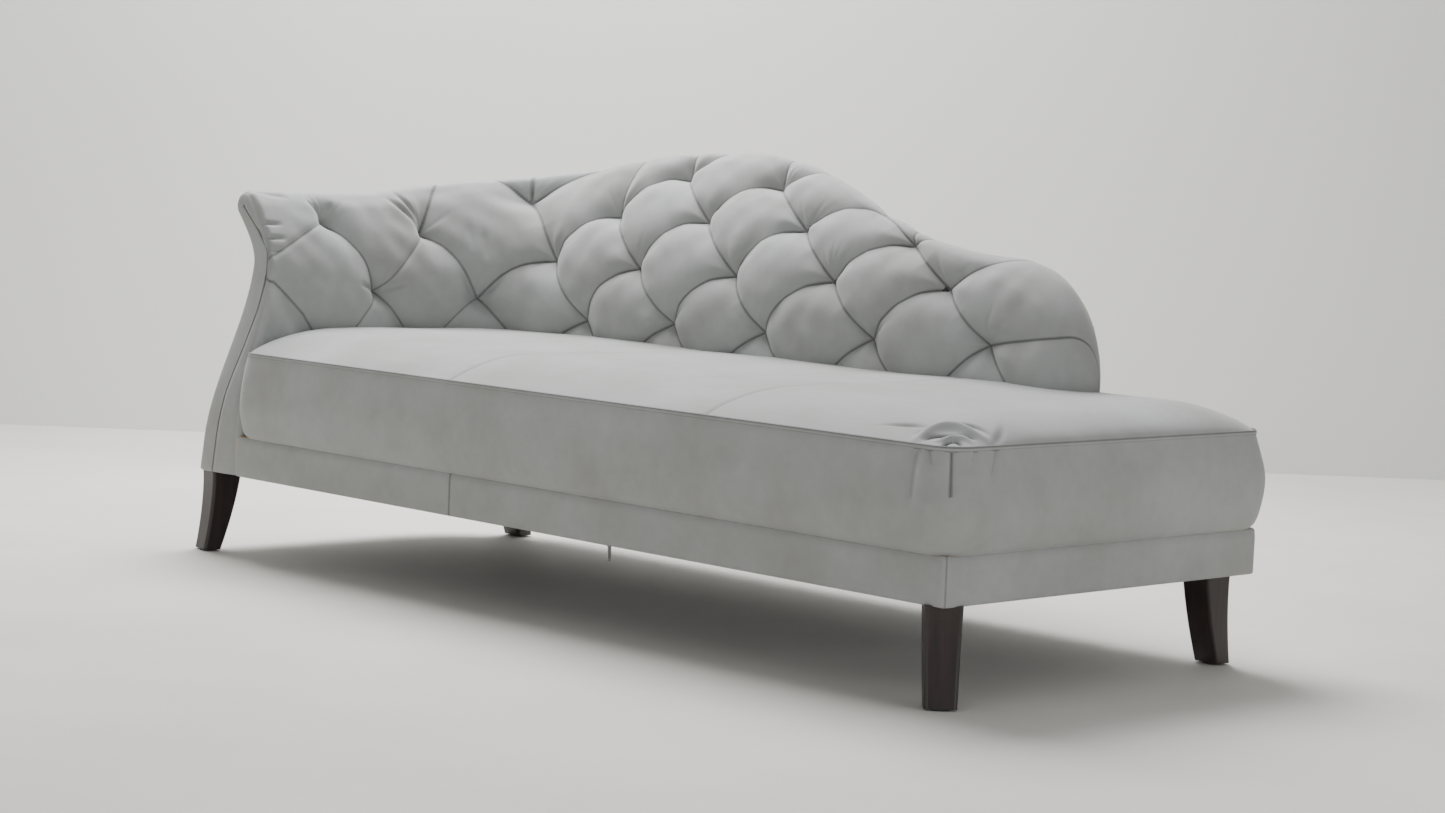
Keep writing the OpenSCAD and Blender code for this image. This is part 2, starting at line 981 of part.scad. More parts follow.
module dust_cover() {
    edge = head_face - 2;
    rear = back_setback + rear_face - 8;
    color(black) from_head()
        translate([0, 0, base_bottom - dust_t])
            linear_extrude(height = dust_t)
                difference() {
                    union() {
                        translate([-edge, cover * 2])
                            square([seat_length - cover * 3 + edge, arm_run - cover * 2]);
                        translate([corner_radius, cover * 2])
                            square([seat_length - cover * 3 - corner_radius, rear - cover * 2]);
                        intersection() {
                            translate([corner_radius, arm_run])
                                circle(r = corner_radius + edge, $fn = 180);
                            translate([-edge, arm_run])
                                square([corner_radius + edge, rear - arm_run]);
                        }
                    }
                    for (foot = feet)
                        translate(foot[0]) circle(d = leg_top * 1.5, $fn = 64);
                    translate([zip_middle - zip_length / 2, zip_y - zip_slot / 2])
                        square([zip_length, zip_slot]);
                }
}

module zip_tapes() {
    color(black) from_head()
        for (side = [-1, 1])
            translate([
                zip_middle - zip_length / 2 - 10,
                zip_y + side * (tape_width / 2 + 1.2) - tape_width / 2,
                base_bottom - dust_t - tape_t
            ])
                cube([zip_length + 20, tape_width, tape_t]);
}

module zip_coils() {
    color(black) from_head()
        for (side = [-1, 1])
            translate([zip_middle - zip_length / 2, zip_y + side * coil_y, coil_z])
                rotate([0, 90, 0])
                    cylinder(r = coil_r, h = zip_length, $fn = 32);
}

module zip_stops() {
    color(steel) from_head()
        for (side = [-1, 1])
            translate([
                zip_middle + side * (zip_length / 2 + 2) - 2,
                zip_y - coil_y - coil_r,
                coil_z - coil_r
            ])
                cube([4, 2 * (coil_y + coil_r), 2 * coil_r]);
}

module zip_slider() {
    lower = coil_z - coil_r - slide_gap - slider_plate;
    upper = base_bottom - dust_t + slide_gap;
    color(steel) from_head()
        translate([zip_middle, zip_y, 0]) {
            translate([-slider_length / 2, -slider_width / 2, lower])
                cube([slider_length, slider_width, slider_plate]);
            translate([-slider_length / 2, -0.9, upper])
                cube([slider_length, 1.8, slider_plate]);
            translate([slider_length / 2 - 4, -0.5, lower])
                cube([4, 1, upper - lower + slider_plate]);
            for (side = [-1, 1])
                translate([-2.2, side * (pull_width / 2 + 1.2) - 0.6, pin_z - 1.6])
                    cube([4.4, 1.2, lower - pin_z + 1.6 + 0.5]);
            translate([0, pull_width / 2 + 1.2, pin_z])
                rotate([90, 0, 0])
                    cylinder(d = pin_d, h = pull_width + 2.4, $fn = 32);
        }
}

module zip_pull() {
    eye = pin_d + 0.6;
    color(steel) from_head()
        translate([zip_middle - pull_t / 2, zip_y, 0])
            difference() {
                union() {
                    translate([pull_t / 2, pull_width / 2, pin_z])
                        rotate([90, 0, 0])
                            cylinder(d = eye + 2, h = pull_width, $fn = 48);
                    translate([0, -pull_width / 2, pin_z - pull_length + pull_width])
                        cube([pull_t, pull_width, pull_length - pull_width]);
                    translate([0, 0, pin_z - pull_length + pull_width])
                        rotate([0, 90, 0])
                            cylinder(d = pull_width, h = pull_t, $fn = 48);
                }
                translate([pull_t / 2, pull_width, pin_z])
                    rotate([90, 0, 0])
                        cylinder(d = eye, h = 2 * pull_width, $fn = 48);
                translate([-1, 0, pin_z - pull_length + pull_width])
                    rotate([0, 90, 0])
                        cylinder(d = pull_width * 0.45, h = pull_t + 2, $fn = 32);
            }
}

// ---------------------------------------------------------------- legs

// Outline of a leg at a share of its height, counted down from the top.
function leg_outline(drop) =
    let (half_w = (leg_top + (leg_foot_width - leg_top) * drop) / 2)
    let (half_d = (leg_top + (leg_foot_depth - leg_top) * drop) / 2)
    let (r = leg_rounding)
    let (shift = -leg_sweep * pow(drop, 1.6))
    [
        for (corner = [0:3])
            for (a = [0:22.5:90])
                let (turn = corner * 90 + a)
                let (cx = (corner == 0 || corner == 3 ? 1 : -1) * (half_w - r))
                let (cy = (corner < 2 ? 1 : -1) * (half_d - r))
                [cx + r * cos(turn), cy + r * sin(turn) + shift]
    ];

module leg(spot, turn, rear) {
    levels = 7;
    height = base_bottom - glide;
    sides = len(leg_outline(0));
    points = [
        for (i = [0:levels])
            for (p = leg_outline(i / levels))
                [p[0], p[1], base_bottom - height * i / levels]
    ];
    walls = [
        for (i = [0:levels - 1])
            for (k = [0:sides - 1])
                let (a = i * sides + k, b = i * sides + (k + 1) % sides)
                each [[a, b, b + sides], [a, b + sides, a + sides]]
    ];
    color(leg_wood) from_head()
        translate([spot[0], spot[1], 0])
            rotate([0, 0, turn + (rear ? 180 : 0)])
                difference() {
                    polyhedron(
                        points = points,
                        faces = concat(
                            walls,
                            [[for (k = [sides - 1:-1:0]) k]],
                            [[for (k = [0:sides - 1]) levels * sides + k]]
                        )
                    );
                    translate([0, 0, base_bottom - bolt_down])
                        cylinder(d = bolt_d, h = bolt_down + 1, $fn = 48);
                    translate([0, -leg_sweep, 0])
                        cylinder(d = 3, h = glide + 18, $fn = 24);
                }
}

module front_left_leg() {
    leg(front_left_bolt, front_left_turn, false);
}

module front_right_leg() {
    leg(front_right_bolt, front_right_turn, false);
}

module rear_left_leg() {
    leg(rear_left_bolt, 0, true);
}

module rear_right_leg() {
    leg(rear_right_bolt, rear_right_turn, true);
}

feet = [
    [front_left_bolt, front_left_turn],
    [front_right_bolt, front_right_turn],
    [rear_left_bolt, 180],
    [rear_right_bolt, rear_right_turn + 180]
];

module at_feet() {
    from_head()
        for (foot = feet)
            translate([foot[0][0], foot[0][1], 0])
                rotate([0, 0, foot[1]])
                    translate([0, -leg_sweep, 0])
                        children();
}

module hanger_bolts() {
    color(steel) from_head()
        for (foot = feet)
            translate([foot[0][0], foot[0][1], base_bottom - bolt_down])
                cylinder(d = bolt_d, h = bolt_down + bolt_up, $fn = 48);
}

module tee_nuts() {
    color(steel) from_head()
        for (foot = feet)
            translate([foot[0][0], foot[0][1], base_bottom])
                difference() {
                    cylinder(d = nut_d, h = nut_t, $fn = 48);
                    translate([0, 0, -1]) cylinder(d = bolt_d, h = nut_t + 2, $fn = 48);
                }
}

module leg_glides() {
    color(black) at_feet()
        difference() {
            cylinder(d = leg_foot_depth - 4, h = glide, $fn = 64);
            translate([0, 0, 1]) cylinder(d = 8, h = glide, $fn = 32);
        }
}

module glide_nails() {
    color(steel) at_feet() {
        translate([0, 0, 1]) cylinder(d = 8, h = glide - 1, $fn = 32);
        translate([0, 0, 1]) cylinder(d = 3, h = glide + 16, $fn = 24);
    }
}

// ---------------------------------------------------------------- node switch

front_rail();
rear_rail();
head_rail();
foot_rail();
corner_rail();
cross_rails();
spring_rail();
leg_blocks();
block_screws();
elastic_bands();
band_staples();
seat_hessian();
seat_foam();
seat_wadding();
seat_cover_head();
seat_cover_middle();
seat_cover_foot();
seat_welt();
base_cover_head();
base_cover_foot();
arm_ribs();
corner_rib();
back_ribs();
rib_screws();
arm_spacers();
back_spacers();
arm_top_rail();
back_top_rail();
arm_hessian();
back_hessian();
arm_foam();
back_foam();
inside_arm_cover();
inside_back_cover();
outside_arm_cover();
outside_back_cover();
arm_facing();
back_end_cover();
tuft_toggles();
dust_cover();
zip_tapes();
zip_coils();
zip_stops();
zip_slider();
zip_pull();
front_left_leg();
front_right_leg();
rear_left_leg();
rear_right_leg();
hanger_bolts();
tee_nuts();
leg_glides();
glide_nails();
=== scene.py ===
"""Looks of the daybed: tufted arm and back, crowned cushion, covered base, materials and studio.

Everything is built in the seat frame, whose zero is the inside face of the arm at the front
of the base, on the floor: x towards the foot end, y towards the back, z up, in metres.
"""

import json
import math

import bpy
import numpy as np
from mathutils import Matrix, Vector


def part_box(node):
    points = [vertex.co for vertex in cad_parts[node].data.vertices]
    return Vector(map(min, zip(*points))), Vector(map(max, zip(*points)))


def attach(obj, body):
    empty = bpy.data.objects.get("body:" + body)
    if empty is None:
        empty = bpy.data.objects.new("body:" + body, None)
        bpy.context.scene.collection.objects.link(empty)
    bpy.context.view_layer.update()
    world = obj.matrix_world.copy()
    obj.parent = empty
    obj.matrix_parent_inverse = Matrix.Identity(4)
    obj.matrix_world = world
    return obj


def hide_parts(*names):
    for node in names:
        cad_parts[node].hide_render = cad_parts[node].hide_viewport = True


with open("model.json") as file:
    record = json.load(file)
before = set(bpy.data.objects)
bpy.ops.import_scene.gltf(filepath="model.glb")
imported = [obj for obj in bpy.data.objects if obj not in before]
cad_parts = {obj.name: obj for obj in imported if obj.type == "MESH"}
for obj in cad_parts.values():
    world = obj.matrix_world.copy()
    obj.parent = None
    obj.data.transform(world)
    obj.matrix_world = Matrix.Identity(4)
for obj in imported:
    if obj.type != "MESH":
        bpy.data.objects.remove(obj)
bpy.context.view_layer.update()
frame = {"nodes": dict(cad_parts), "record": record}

# ------------------------------------------------------------------ sizes from the frame

BAND_LOW, BAND_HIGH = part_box("base_cover_foot")
HEAD_BAND_LOW, HEAD_BAND_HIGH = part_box("base_cover_head")
WELT_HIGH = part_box("seat_welt")[1]
MIDDLE_LOW, MIDDLE_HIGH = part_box("seat_cover_middle")
BACK_END_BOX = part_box("back_end_cover")[1]

# Gap between the arm and the base cover, and how far the padding's end stands inside its cover.
HEAD_GAP = 0.0005
END_INSET = 0.005

ORIGIN = np.array([HEAD_BAND_LOW.x - HEAD_GAP, HEAD_BAND_LOW.y, 0.0])
SEAT_LENGTH = BAND_HIGH.x - ORIGIN[0]
SEAT_DEPTH = BAND_HIGH.y - ORIGIN[1]
BASE_BOTTOM = BAND_LOW.z
BAND_TOP = BAND_HIGH.z
SEAM_TOP = WELT_HIGH.z
BAND_SEAM_X = HEAD_BAND_HIGH.x - ORIGIN[0]
FIRST_SEAM_X = MIDDLE_LOW.x - ORIGIN[0]
SECOND_SEAM_X = MIDDLE_HIGH.x - ORIGIN[0]
BACK_END = BACK_END_BOX.x - ORIGIN[0] - END_INSET

# ------------------------------------------------------------------ shape of arm and back

SETBACK = 0.637
CORNER_RADIUS = 0.150
ARM_RUN = SETBACK - CORNER_RADIUS
CORNER_RUN = CORNER_RADIUS * math.pi / 2
BACK_START = ARM_RUN + CORNER_RUN - CORNER_RADIUS
PATH_END = BACK_START + BACK_END

ARM_HEIGHT = 0.712
PEAK_HEIGHT = 0.826
SHOULDER_HEIGHT = 0.664
END_LOW = 0.435
RISE_FROM, PEAK_FROM = 0.30, 1.052
PEAK_TO_X, SHOULDER_X = 0.57, 1.37

FLARE_START = 0.490
FLARE_RATE = 0.092 / 0.226**2
ROLL_RADIUS = 0.026
ROLL_SWELL = 0.018
SWELL_FROM, SWELL_RUN = 1.20, 0.25
WAIST_HEIGHT = 0.575
ARM_FOOT, BACK_FOOT = 0.129, 0.147
ARM_WAIST, BACK_WAIST = 0.064, 0.084
ARM_LEAN = 0.076
LEAN_FROM, LEAN_TO = 0.23, 0.62
HIDDEN_BELOW = 0.400
END_ROUNDING = 0.090
END_MIDDLE = 0.032


def ease(t):
    """Half a cosine wave that climbs from 0 to 1 as t goes from 0 to 1, level at both ends."""
    t = np.clip(t, 0, 1)
    return (1 - np.cos(np.pi * t)) / 2


def smooth(t):
    """Cubic step from 0 to 1."""
    t = np.clip(t, 0, 1)
    return t * t * (3 - 2 * t)


def flare(z):
    """Outward lean of the padding: nothing below the start, then growing with the square."""
    return FLARE_RATE * np.maximum(0, z - FLARE_START) ** 2


def lean_angle(z):
    """Angle of the padding from the vertical at a height."""
    return np.arctan(2 * FLARE_RATE * np.maximum(0, z - FLARE_START))


def crest(u):
    """Height of the rolled edge along the path: a cosine rise, a cosine fall, a quarter ellipse."""
    x = u - BACK_START
    rise = ARM_HEIGHT + (PEAK_HEIGHT - ARM_HEIGHT) * ease(
        (u - RISE_FROM) / (PEAK_FROM - RISE_FROM)
    )
    fall = PEAK_HEIGHT - (PEAK_HEIGHT - SHOULDER_HEIGHT) * ease(
        (x - PEAK_TO_X) / (SHOULDER_X - PEAK_TO_X)
    )
    drop = np.clip(1 - ((x - SHOULDER_X) / (BACK_END - SHOULDER_X)) ** 2, 0, 1)
    end = END_LOW + (SHOULDER_HEIGHT - END_LOW) * np.sqrt(drop)
    return np.where(x < PEAK_TO_X, rise, np.where(x < SHOULDER_X, fall, end))


def roll_radius(u):
    """Radius of the rolled edge, which fattens towards the low end of the back."""
    return ROLL_RADIUS + ROLL_SWELL * ease((u - BACK_START - SWELL_FROM) / SWELL_RUN)


def lip(u):
    """Height where the front of the padding starts to roll over."""
    z = crest(u) - ROLL_RADIUS
    for _ in range(6):
        z = crest(u) - roll_radius(u) * (1 - np.sin(lean_angle(z)))
    return z


# Arc length up the front of the padding, from the bottom, as a table.
HEIGHT_TABLE = np.linspace(BASE_BOTTOM, 1.0, 1201)
ARC_STEPS = np.hypot(np.diff(HEIGHT_TABLE), np.diff(flare(HEIGHT_TABLE)))
ARC_TABLE = np.concatenate([[0], np.cumsum(ARC_STEPS)])
ROLL_TURN = math.radians(40)


def arc_at(z):
    """Arc length up the front of the padding at a height."""
    return np.interp(z, HEIGHT_TABLE, ARC_TABLE)


def roll_angle_end(u):
    """How far round the rolled edge the inside cover goes: past pointing straight down."""
    return np.pi - lean_angle(lip(u)) + ROLL_TURN


def section(u, s):
    """Reach and height of the padding at path u and arc length s.

    The section climbs the front of the padding and then turns round the roll's circle.
    """
    z_lip = lip(u)
    s_lip = arc_at(z_lip)
    beta = lean_angle(z_lip)
    r = roll_radius(u)
    z_front = np.interp(np.minimum(s, s_lip), ARC_TABLE, HEIGHT_TABLE)
    theta = np.maximum(0, s - s_lip) / r
    centre_o = flare(z_lip) + r * np.cos(beta)
    centre_z = z_lip - r * np.sin(beta)
    roll_o = centre_o + r * (-np.cos(beta) * np.cos(theta) + np.sin(beta) * np.sin(theta))
    roll_z = centre_z + r * (np.sin(beta) * np.cos(theta) + np.cos(beta) * np.sin(theta))
    on_roll = s > s_lip
    return np.where(on_roll, roll_o, flare(z_front)), np.where(on_roll, roll_z, z_front)


def section_end(u):
    """Arc length at which the rolled edge meets the outside cover."""
    return arc_at(lip(u)) + roll_radius(u) * roll_angle_end(u)


def round_corner(u):
    """Share of the way round the corner from the arm, 0, to the back, 1."""
    return ease((u - ARM_RUN) / CORNER_RUN)


def outside(u, z):
    """Reach of the outside face: foot, waist, then out again to the end of the roll."""
    o_end, z_end = section(u, section_end(u))
    waist = ARM_WAIST + (BACK_WAIST - ARM_WAIST) * round_corner(u)
    foot = ARM_FOOT + (BACK_FOOT - ARM_FOOT) * round_corner(u)

    def lower(h):
        t = np.clip((WAIST_HEIGHT - h) / (WAIST_HEIGHT - BASE_BOTTOM), 0, 1)
        return waist + (foot - waist) * t * t * (2 - t)

    start = np.minimum(WAIST_HEIGHT, z_end - 0.08)
    t = np.clip((z - start) / (z_end - start), 0, 1)
    return lower(z) + (o_end - lower(z_end)) * t**1.5


def front_edge(z):
    """Place of the front edge of the arm: upright at the foot, leaning back above."""
    return ARM_LEAN * smooth((z - LEAN_FROM) / (LEAN_TO - LEAN_FROM))


def place(u, o, z):
    """Point of the seat frame at path u, outward reach o and height z.

    The path runs along the arm, round a quarter circle, then along the back. Near the foot
    end of the back the section shrinks towards its middle on a quarter circle.
    """
    u, o, z = np.broadcast_arrays(u, o, z)
    x_back = u - BACK_START
    t = np.clip((x_back - (BACK_END - END_ROUNDING)) / END_ROUNDING, 0, 1)
    shrink = np.sqrt(np.clip(1 - t * t, 0, 1))
    middle = END_MIDDLE + flare(np.minimum(z, lip(u)))
    o = np.where(t > 0, middle + (o - middle) * shrink, o)
    a = np.clip((u - ARM_RUN) / CORNER_RADIUS, 0, np.pi / 2)
    x = CORNER_RADIUS - (CORNER_RADIUS + o) * np.cos(a)
    x = x + np.maximum(0, u - ARM_RUN - CORNER_RUN)
    y = ARM_RUN + (CORNER_RADIUS + o) * np.sin(a)
    edge = front_edge(z)
    on_arm = u < ARM_RUN
    x = np.where(on_arm, -o, x)
    y = np.where(on_arm, edge + u * (1 - edge / ARM_RUN), y)
    return np.stack([x, y, z], -1)


# ------------------------------------------------------------------ tufts

# Tufts as (row from the top, half pitches along): (path, height).
TUFTS = {
    (1, 2): (0.984, 0.787),
    (1, 4): (1.260, 0.778),
    (1, 6): (1.588, 0.738),
    (2, -1): (0.648, 0.719),
    (2, 1): (0.859, 0.703),
    (2, 3): (1.121, 0.705),
    (2, 5): (1.400, 0.700),
    (2, 7): (1.700, 0.683),
    (3, -4): (0.196, 0.662),
    (3, -2): (0.487, 0.644),
    (3, 0): (0.729, 0.599),
    (3, 2): (0.987, 0.599),
    (3, 4): (1.265, 0.601),
    (3, 6): (1.530, 0.606),
    (3, 8): (1.821, 0.610),
    (4, -3): (0.323, 0.522),
    (4, -1): (0.582, 0.507),
    (4, 1): (0.856, 0.477),
    (4, 3): (1.115, 0.489),
    (4, 5): (1.372, 0.491),
    (4, 7): (1.658, 0.500),
    (4, 9): (1.943, 0.511),
}


# Rise of a bowed seam on the back and on the arm, and the paths where each kind begins or ends.
BACK_BOW, ARM_BOW = 0.018, 0.010
BACK_BOWS_FROM = ARM_RUN + 0.05
FAINT_BEFORE = ARM_RUN + 0.12
# Where the seams of the last row go down behind the cushion.
LAST_ROW = 4
HALF_PITCH = 0.125
SEAMS_DOWN_TO = 0.385
# Tuft and side of the one seam that is left out, where two panels are joined round the corner.
CORNER_PANEL = (2, -1, -1)


def flat_point(u, z):
    """Path and arc length of a point given by path and height."""
    return np.array([u, float(arc_at(z))])


def over_crest(u_from, u_to):
    """Point on the far side of the rolled edge."""
    return np.array([u_to, float(section_end(np.array(u_to))) - 0.01])


def build_seams():
    """Ends, bow and faintness of each seam, in path and arc length."""
    seams = []
    for (row, k), (u, z) in TUFTS.items():
        here = flat_point(u, z)
        for step in (-1, 1):
            below = TUFTS.get((row + 1, k + step))
            rising = step < 0
            if (row, k, step) == CORNER_PANEL:
                continue
            bow = 0.0
            if rising and u >= BACK_BOWS_FROM:
                bow = BACK_BOW
            if not rising and u < BACK_BOWS_FROM:
                bow = ARM_BOW
            faint = rising and u < FAINT_BEFORE
            if below is not None:
                seams.append((here, flat_point(*below), bow, faint))
            elif row == LAST_ROW:
                hidden = flat_point(u + step * HALF_PITCH, SEAMS_DOWN_TO)
                seams.append((here, hidden, bow * 0.5, faint))
    return seams


# Seams that end at an edge: (tuft, path where it ends, height where it ends).
# No height means that the seam runs over the crest.
EDGE_SEAMS = (
    ((1, 2), 0.965, None),
    ((1, 2), 1.120, None),
    ((1, 4), 1.245, None),
    ((1, 4), 1.430, None),
    ((1, 6), 1.560, None),
    ((1, 6), 1.640, None),
    ((2, -1), 0.640, None),
    ((2, -1), 0.560, None),
    ((2, -1), 0.800, None),
    ((2, 1), 0.835, None),
    ((2, 7), 1.675, None),
    ((2, 7), 1.800, None),
    ((3, -2), 0.550, None),
    ((3, 8), 2.080, None),
    ((4, 9), 2.185, 0.545),
)
# Seams round the arm front, as lists of (path, height).
FRONT_SEAMS = (
    ((0.196, 0.662), (0.018, 0.590), (-0.052, 0.566)),
    ((-0.052, 0.552), (0.018, 0.540), (0.115, 0.474), (0.190, 0.400)),
)
# Creases: (path, height, reach over the lip) at both ends, then width and depth.
CREASES = (
    ((-0.006, None, 0.052), (0.150, None, 0.036), 0.006, 0.0090),
    ((-0.010, None, 0.036), (0.130, None, 0.016), 0.005, 0.0080),
    ((-0.016, None, 0.020), (0.095, None, -0.004), 0.005, 0.0070),
    ((-0.020, 0.650, 0.0), (0.050, 0.646, 0.0), 0.004, 0.0060),
    ((-0.030, 0.622, 0.0), (0.052, 0.620, 0.0), 0.004, 0.0070),
    ((-0.034, 0.600, 0.0), (0.040, 0.598, 0.0), 0.004, 0.0050),
    ((0.150, None, -0.012), (0.182, 0.676, 0.0), 0.006, 0.0060),
    ((0.222, None, -0.018), (0.205, 0.680, 0.0), 0.006, 0.0050),
    ((0.395, 0.700, 0.0), (0.468, 0.656, 0.0), 0.007, 0.0080),
    ((0.425, 0.716, 0.0), (0.476, 0.664, 0.0), 0.006, 0.0070),
    ((0.590, 0.640, 0.0), (0.598, 0.585, 0.0), 0.006, 0.0035),
    ((0.565, 0.655, 0.0), (0.570, 0.600, 0.0), 0.007, 0.0030),
    ((0.262, 0.534, 0.0), (0.312, 0.524, 0.0), 0.005, 0.0060),
    ((0.334, 0.524, 0.0), (0.392, 0.534, 0.0), 0.005, 0.0060),
)


def seam_polylines():
    """Every seam as a list of points; a bowed seam arches up by its bow at the middle."""
    lines = []
    faint_lines = []
    for a, b, bow, faint in build_seams():
        t = np.linspace(0, 1, 9)[:, None]
        points = a + (b - a) * t
        along = (b - a) / np.linalg.norm(b - a)
        across = np.array([-along[1], along[0]])
        if across[1] < 0:
            across = -across
        (faint_lines if faint else lines).append(points + across * bow * 4 * t * (1 - t))
    for key, u_end, z_end in EDGE_SEAMS:
        a = flat_point(*TUFTS[key])
        b = over_crest(a[0], u_end) if z_end is None else flat_point(u_end, z_end)
        lines.append(np.array([a, b]))
    faint_lines.append(np.array([flat_point(*p) for p in FRONT_SEAMS[0]]))
    lines.append(np.array([flat_point(*p) for p in FRONT_SEAMS[1]]))
    return lines, faint_lines


SEAM_LINES, FAINT_LINES = seam_polylines()
TUFT_POINTS = np.array([flat_point(*p) for p in TUFTS.values()])

# Half width and full height of a pillow, depth of its seams and tufts, and reach of a tuft.
PILLOW_REACH = 0.072
PILLOW_HEIGHT = 0.014
SEAM_DEPTH = -0.001
TUFT_DEPTH = 0.027
TUFT_REACH = 0.040
SEAM_SHARPNESS = 2.3
BLEND_POWER = 4.0
FAINT_DEPTH = 0.0025
FAINT_REACH = 0.006
FAINT_SOFTNESS = 0.050
TUFT_CREASE_DEPTH = 0.0030
TUFT_CREASES = 4
TUFT_CREASE_RADIUS = 0.022
TUFT_SEED = 11
LUMP_HEIGHT = 0.0006


def distance_to_line(q, line):
    """Shortest distance from each point of q to a line of straight pieces."""
    best = np.full(q.shape[:-1], 1.0)
    for a, b in zip(line[:-1], line[1:]):
        along = b - a
        t = np.clip(((q - a) @ along) / (along @ along), 0, 1)
        best = np.minimum(best, np.linalg.norm(q - a - t[..., None] * along, axis=-1))
    return best


def distance_to_seams(q):
    """Distance to the nearest seam and faint seam, and a rounded one that blends all seams.

    The rounded distance is the sum of all distances to the power -n, to the power -1/n.
    """
    nearest = np.full(q.shape[:-1], 1.0)
    total = np.zeros(q.shape[:-1])
    for line in SEAM_LINES:
        d = distance_to_line(q, line)
        nearest = np.minimum(nearest, d)
        total += (d + 1e-4) ** -BLEND_POWER
    faint = np.full(q.shape[:-1], 1.0)
    for line in FAINT_LINES:
        d = distance_to_line(q, line)
        faint = np.minimum(faint, d)
        total += (d + FAINT_SOFTNESS) ** -BLEND_POWER
    return nearest, faint, total ** (-1 / BLEND_POWER)


def crease_depth(q):
    """Depth of the creases in the list: soft grooves that fade at both ends."""
    depth = np.zeros(q.shape[:-1])
    for start, end, width, deepest in CREASES:
        a, b = (crease_end(*spot) for spot in (start, end))
        along = b - a
        t = np.clip(((q - a) @ along) / (along @ along), 0, 1)
        d = np.linalg.norm(q - a - t[..., None] * along, axis=-1)
        fade = np.sqrt(np.sin(np.pi * np.clip(t, 0.02, 0.98)))
        depth += deepest * fade * np.exp(-((d / width) ** 2))
    return depth


def crease_end(u, z, over):
    """End of a crease: at a height, or at the lip when no height is given, moved over the roll."""
    height = float(lip(np.array(max(u, 0.0)))) if z is None else z
    return np.array([u, float(arc_at(height)) + over])


def tuft_fields(q, seed):
    """Distance to the nearest tuft, and the small creases that run out from every tuft."""
    rng = np.random.default_rng(seed)
    nearest = np.full(q.shape[:-1], 1.0)
    creases = np.zeros(q.shape[:-1])
    for p in TUFT_POINTS:
        d = q - p
        r = np.linalg.norm(d, axis=-1)
        nearest = np.minimum(nearest, r)
        angle = np.arctan2(d[..., 1], d[..., 0])
        share = r / TUFT_CREASE_RADIUS
        window = share * np.exp(1 - share) * np.exp(-((r / 0.075) ** 4))
        wave = np.zeros_like(r)
        for _ in range(TUFT_CREASES):
            centre = rng.uniform(0.15, 0.85) * np.pi
            width = rng.uniform(0.07, 0.13)
            turn = np.angle(np.exp(1j * (angle - centre)))
            wave -= rng.uniform(0.5, 1.0) * np.exp(-((turn / width) ** 2))
        creases += window * wave
    return nearest, creases


def soft_noise(points, scale, seed, count=24):
    """Smooth random field: a sum of plane waves of about one wavelength, seeded."""
    rng = np.random.default_rng(seed)
    total = np.zeros(points.shape[:-1])
    for _ in range(count):
        direction = rng.normal(size=points.shape[-1])
        direction /= np.linalg.norm(direction)
        k = 2 * np.pi / (scale * rng.uniform(0.7, 1.5))
        total += np.sin(points @ direction * k + rng.uniform(0, 2 * np.pi))
    return total / math.sqrt(count / 2)


def tuft_displacement(u, s):
    """How far the cover stands out from the padding's own curve, and how near a seam it is, which
    places the painted seam shade.

    The cover is lowest along a seam, deepest at a tuft, and rises to a full pillow at the
    middle of each diamond; small creases run out from every tuft.
    """
    q = np.stack([u, s], -1)
    d, faint, rounded = distance_to_seams(q)
    r, creases = tuft_fields(q, TUFT_SEED)
    rise = 1 - (1 - np.clip(rounded / PILLOW_REACH, 0, 1)) ** SEAM_SHARPNESS
    depth = SEAM_DEPTH + (TUFT_DEPTH - SEAM_DEPTH) * np.exp(-((r / TUFT_REACH) ** 1.5))
    height = -depth * (1 - rise) + PILLOW_HEIGHT * rise
    height += TUFT_CREASE_DEPTH * creases * np.clip(d / 0.012, 0, 1)
    height += LUMP_HEIGHT * soft_noise(q, 0.06, 5)
    height -= crease_depth(q) + FAINT_DEPTH * np.exp(-((faint / FAINT_REACH) ** 2))
    # The second value places painted shade along the seams; faint seams get a little less of it.
    return height, np.minimum(d, faint + 0.0008)


# ------------------------------------------------------------------ meshes


def normals_of(points):
    """Unit normals of a grid of points, from the cross product of its two directions."""
    du = np.gradient(points, axis=0)
    dv = np.gradient(points, axis=1)
    n = np.cross(du, dv)
    return n / np.maximum(np.linalg.norm(n, axis=-1, keepdims=True), 1e-12)


def grid_object(name, points, fields):
    """Mesh of quads over a grid of seat-frame points, with its point attributes."""
    rows, columns = points.shape[:2]
    index = np.arange(rows * columns).reshape(rows, columns)
    a, b = index[:-1, :-1], index[1:, :-1]
    c, d = index[1:, 1:], index[:-1, 1:]
    quads = np.stack([a, b, c, d], -1).reshape(-1, 4)
    mesh = bpy.data.meshes.new(name)
    mesh.vertices.add(rows * columns)
    mesh.vertices.foreach_set("co", (points + ORIGIN).reshape(-1))
    mesh.loops.add(quads.size)
    mesh.loops.foreach_set("vertex_index", quads.reshape(-1))
    mesh.polygons.add(len(quads))
    mesh.polygons.foreach_set("loop_start", np.arange(0, quads.size, 4))
    mesh.polygons.foreach_set("use_smooth", np.ones(len(quads), bool))
    mesh.update(calc_edges=True)
    mesh.validate()
    for key, values in fields.items():
        layer = mesh.attributes.new(key, "FLOAT", "POINT")
        layer.data.foreach_set("value", np.asarray(values, np.float32).reshape(-1))
    thing = bpy.data.objects.new(name, mesh)
    bpy.context.scene.collection.objects.link(thing)
    return thing


def finish_piece(thing, nodes, material):
    """Gives a cloth piece its material and body, and hides the CAD nodes it stands for."""
    thing.data.materials.append(material)
    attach(thing, "daybed")
    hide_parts(*nodes)
    return thing


# ------------------------------------------------------------------ materials


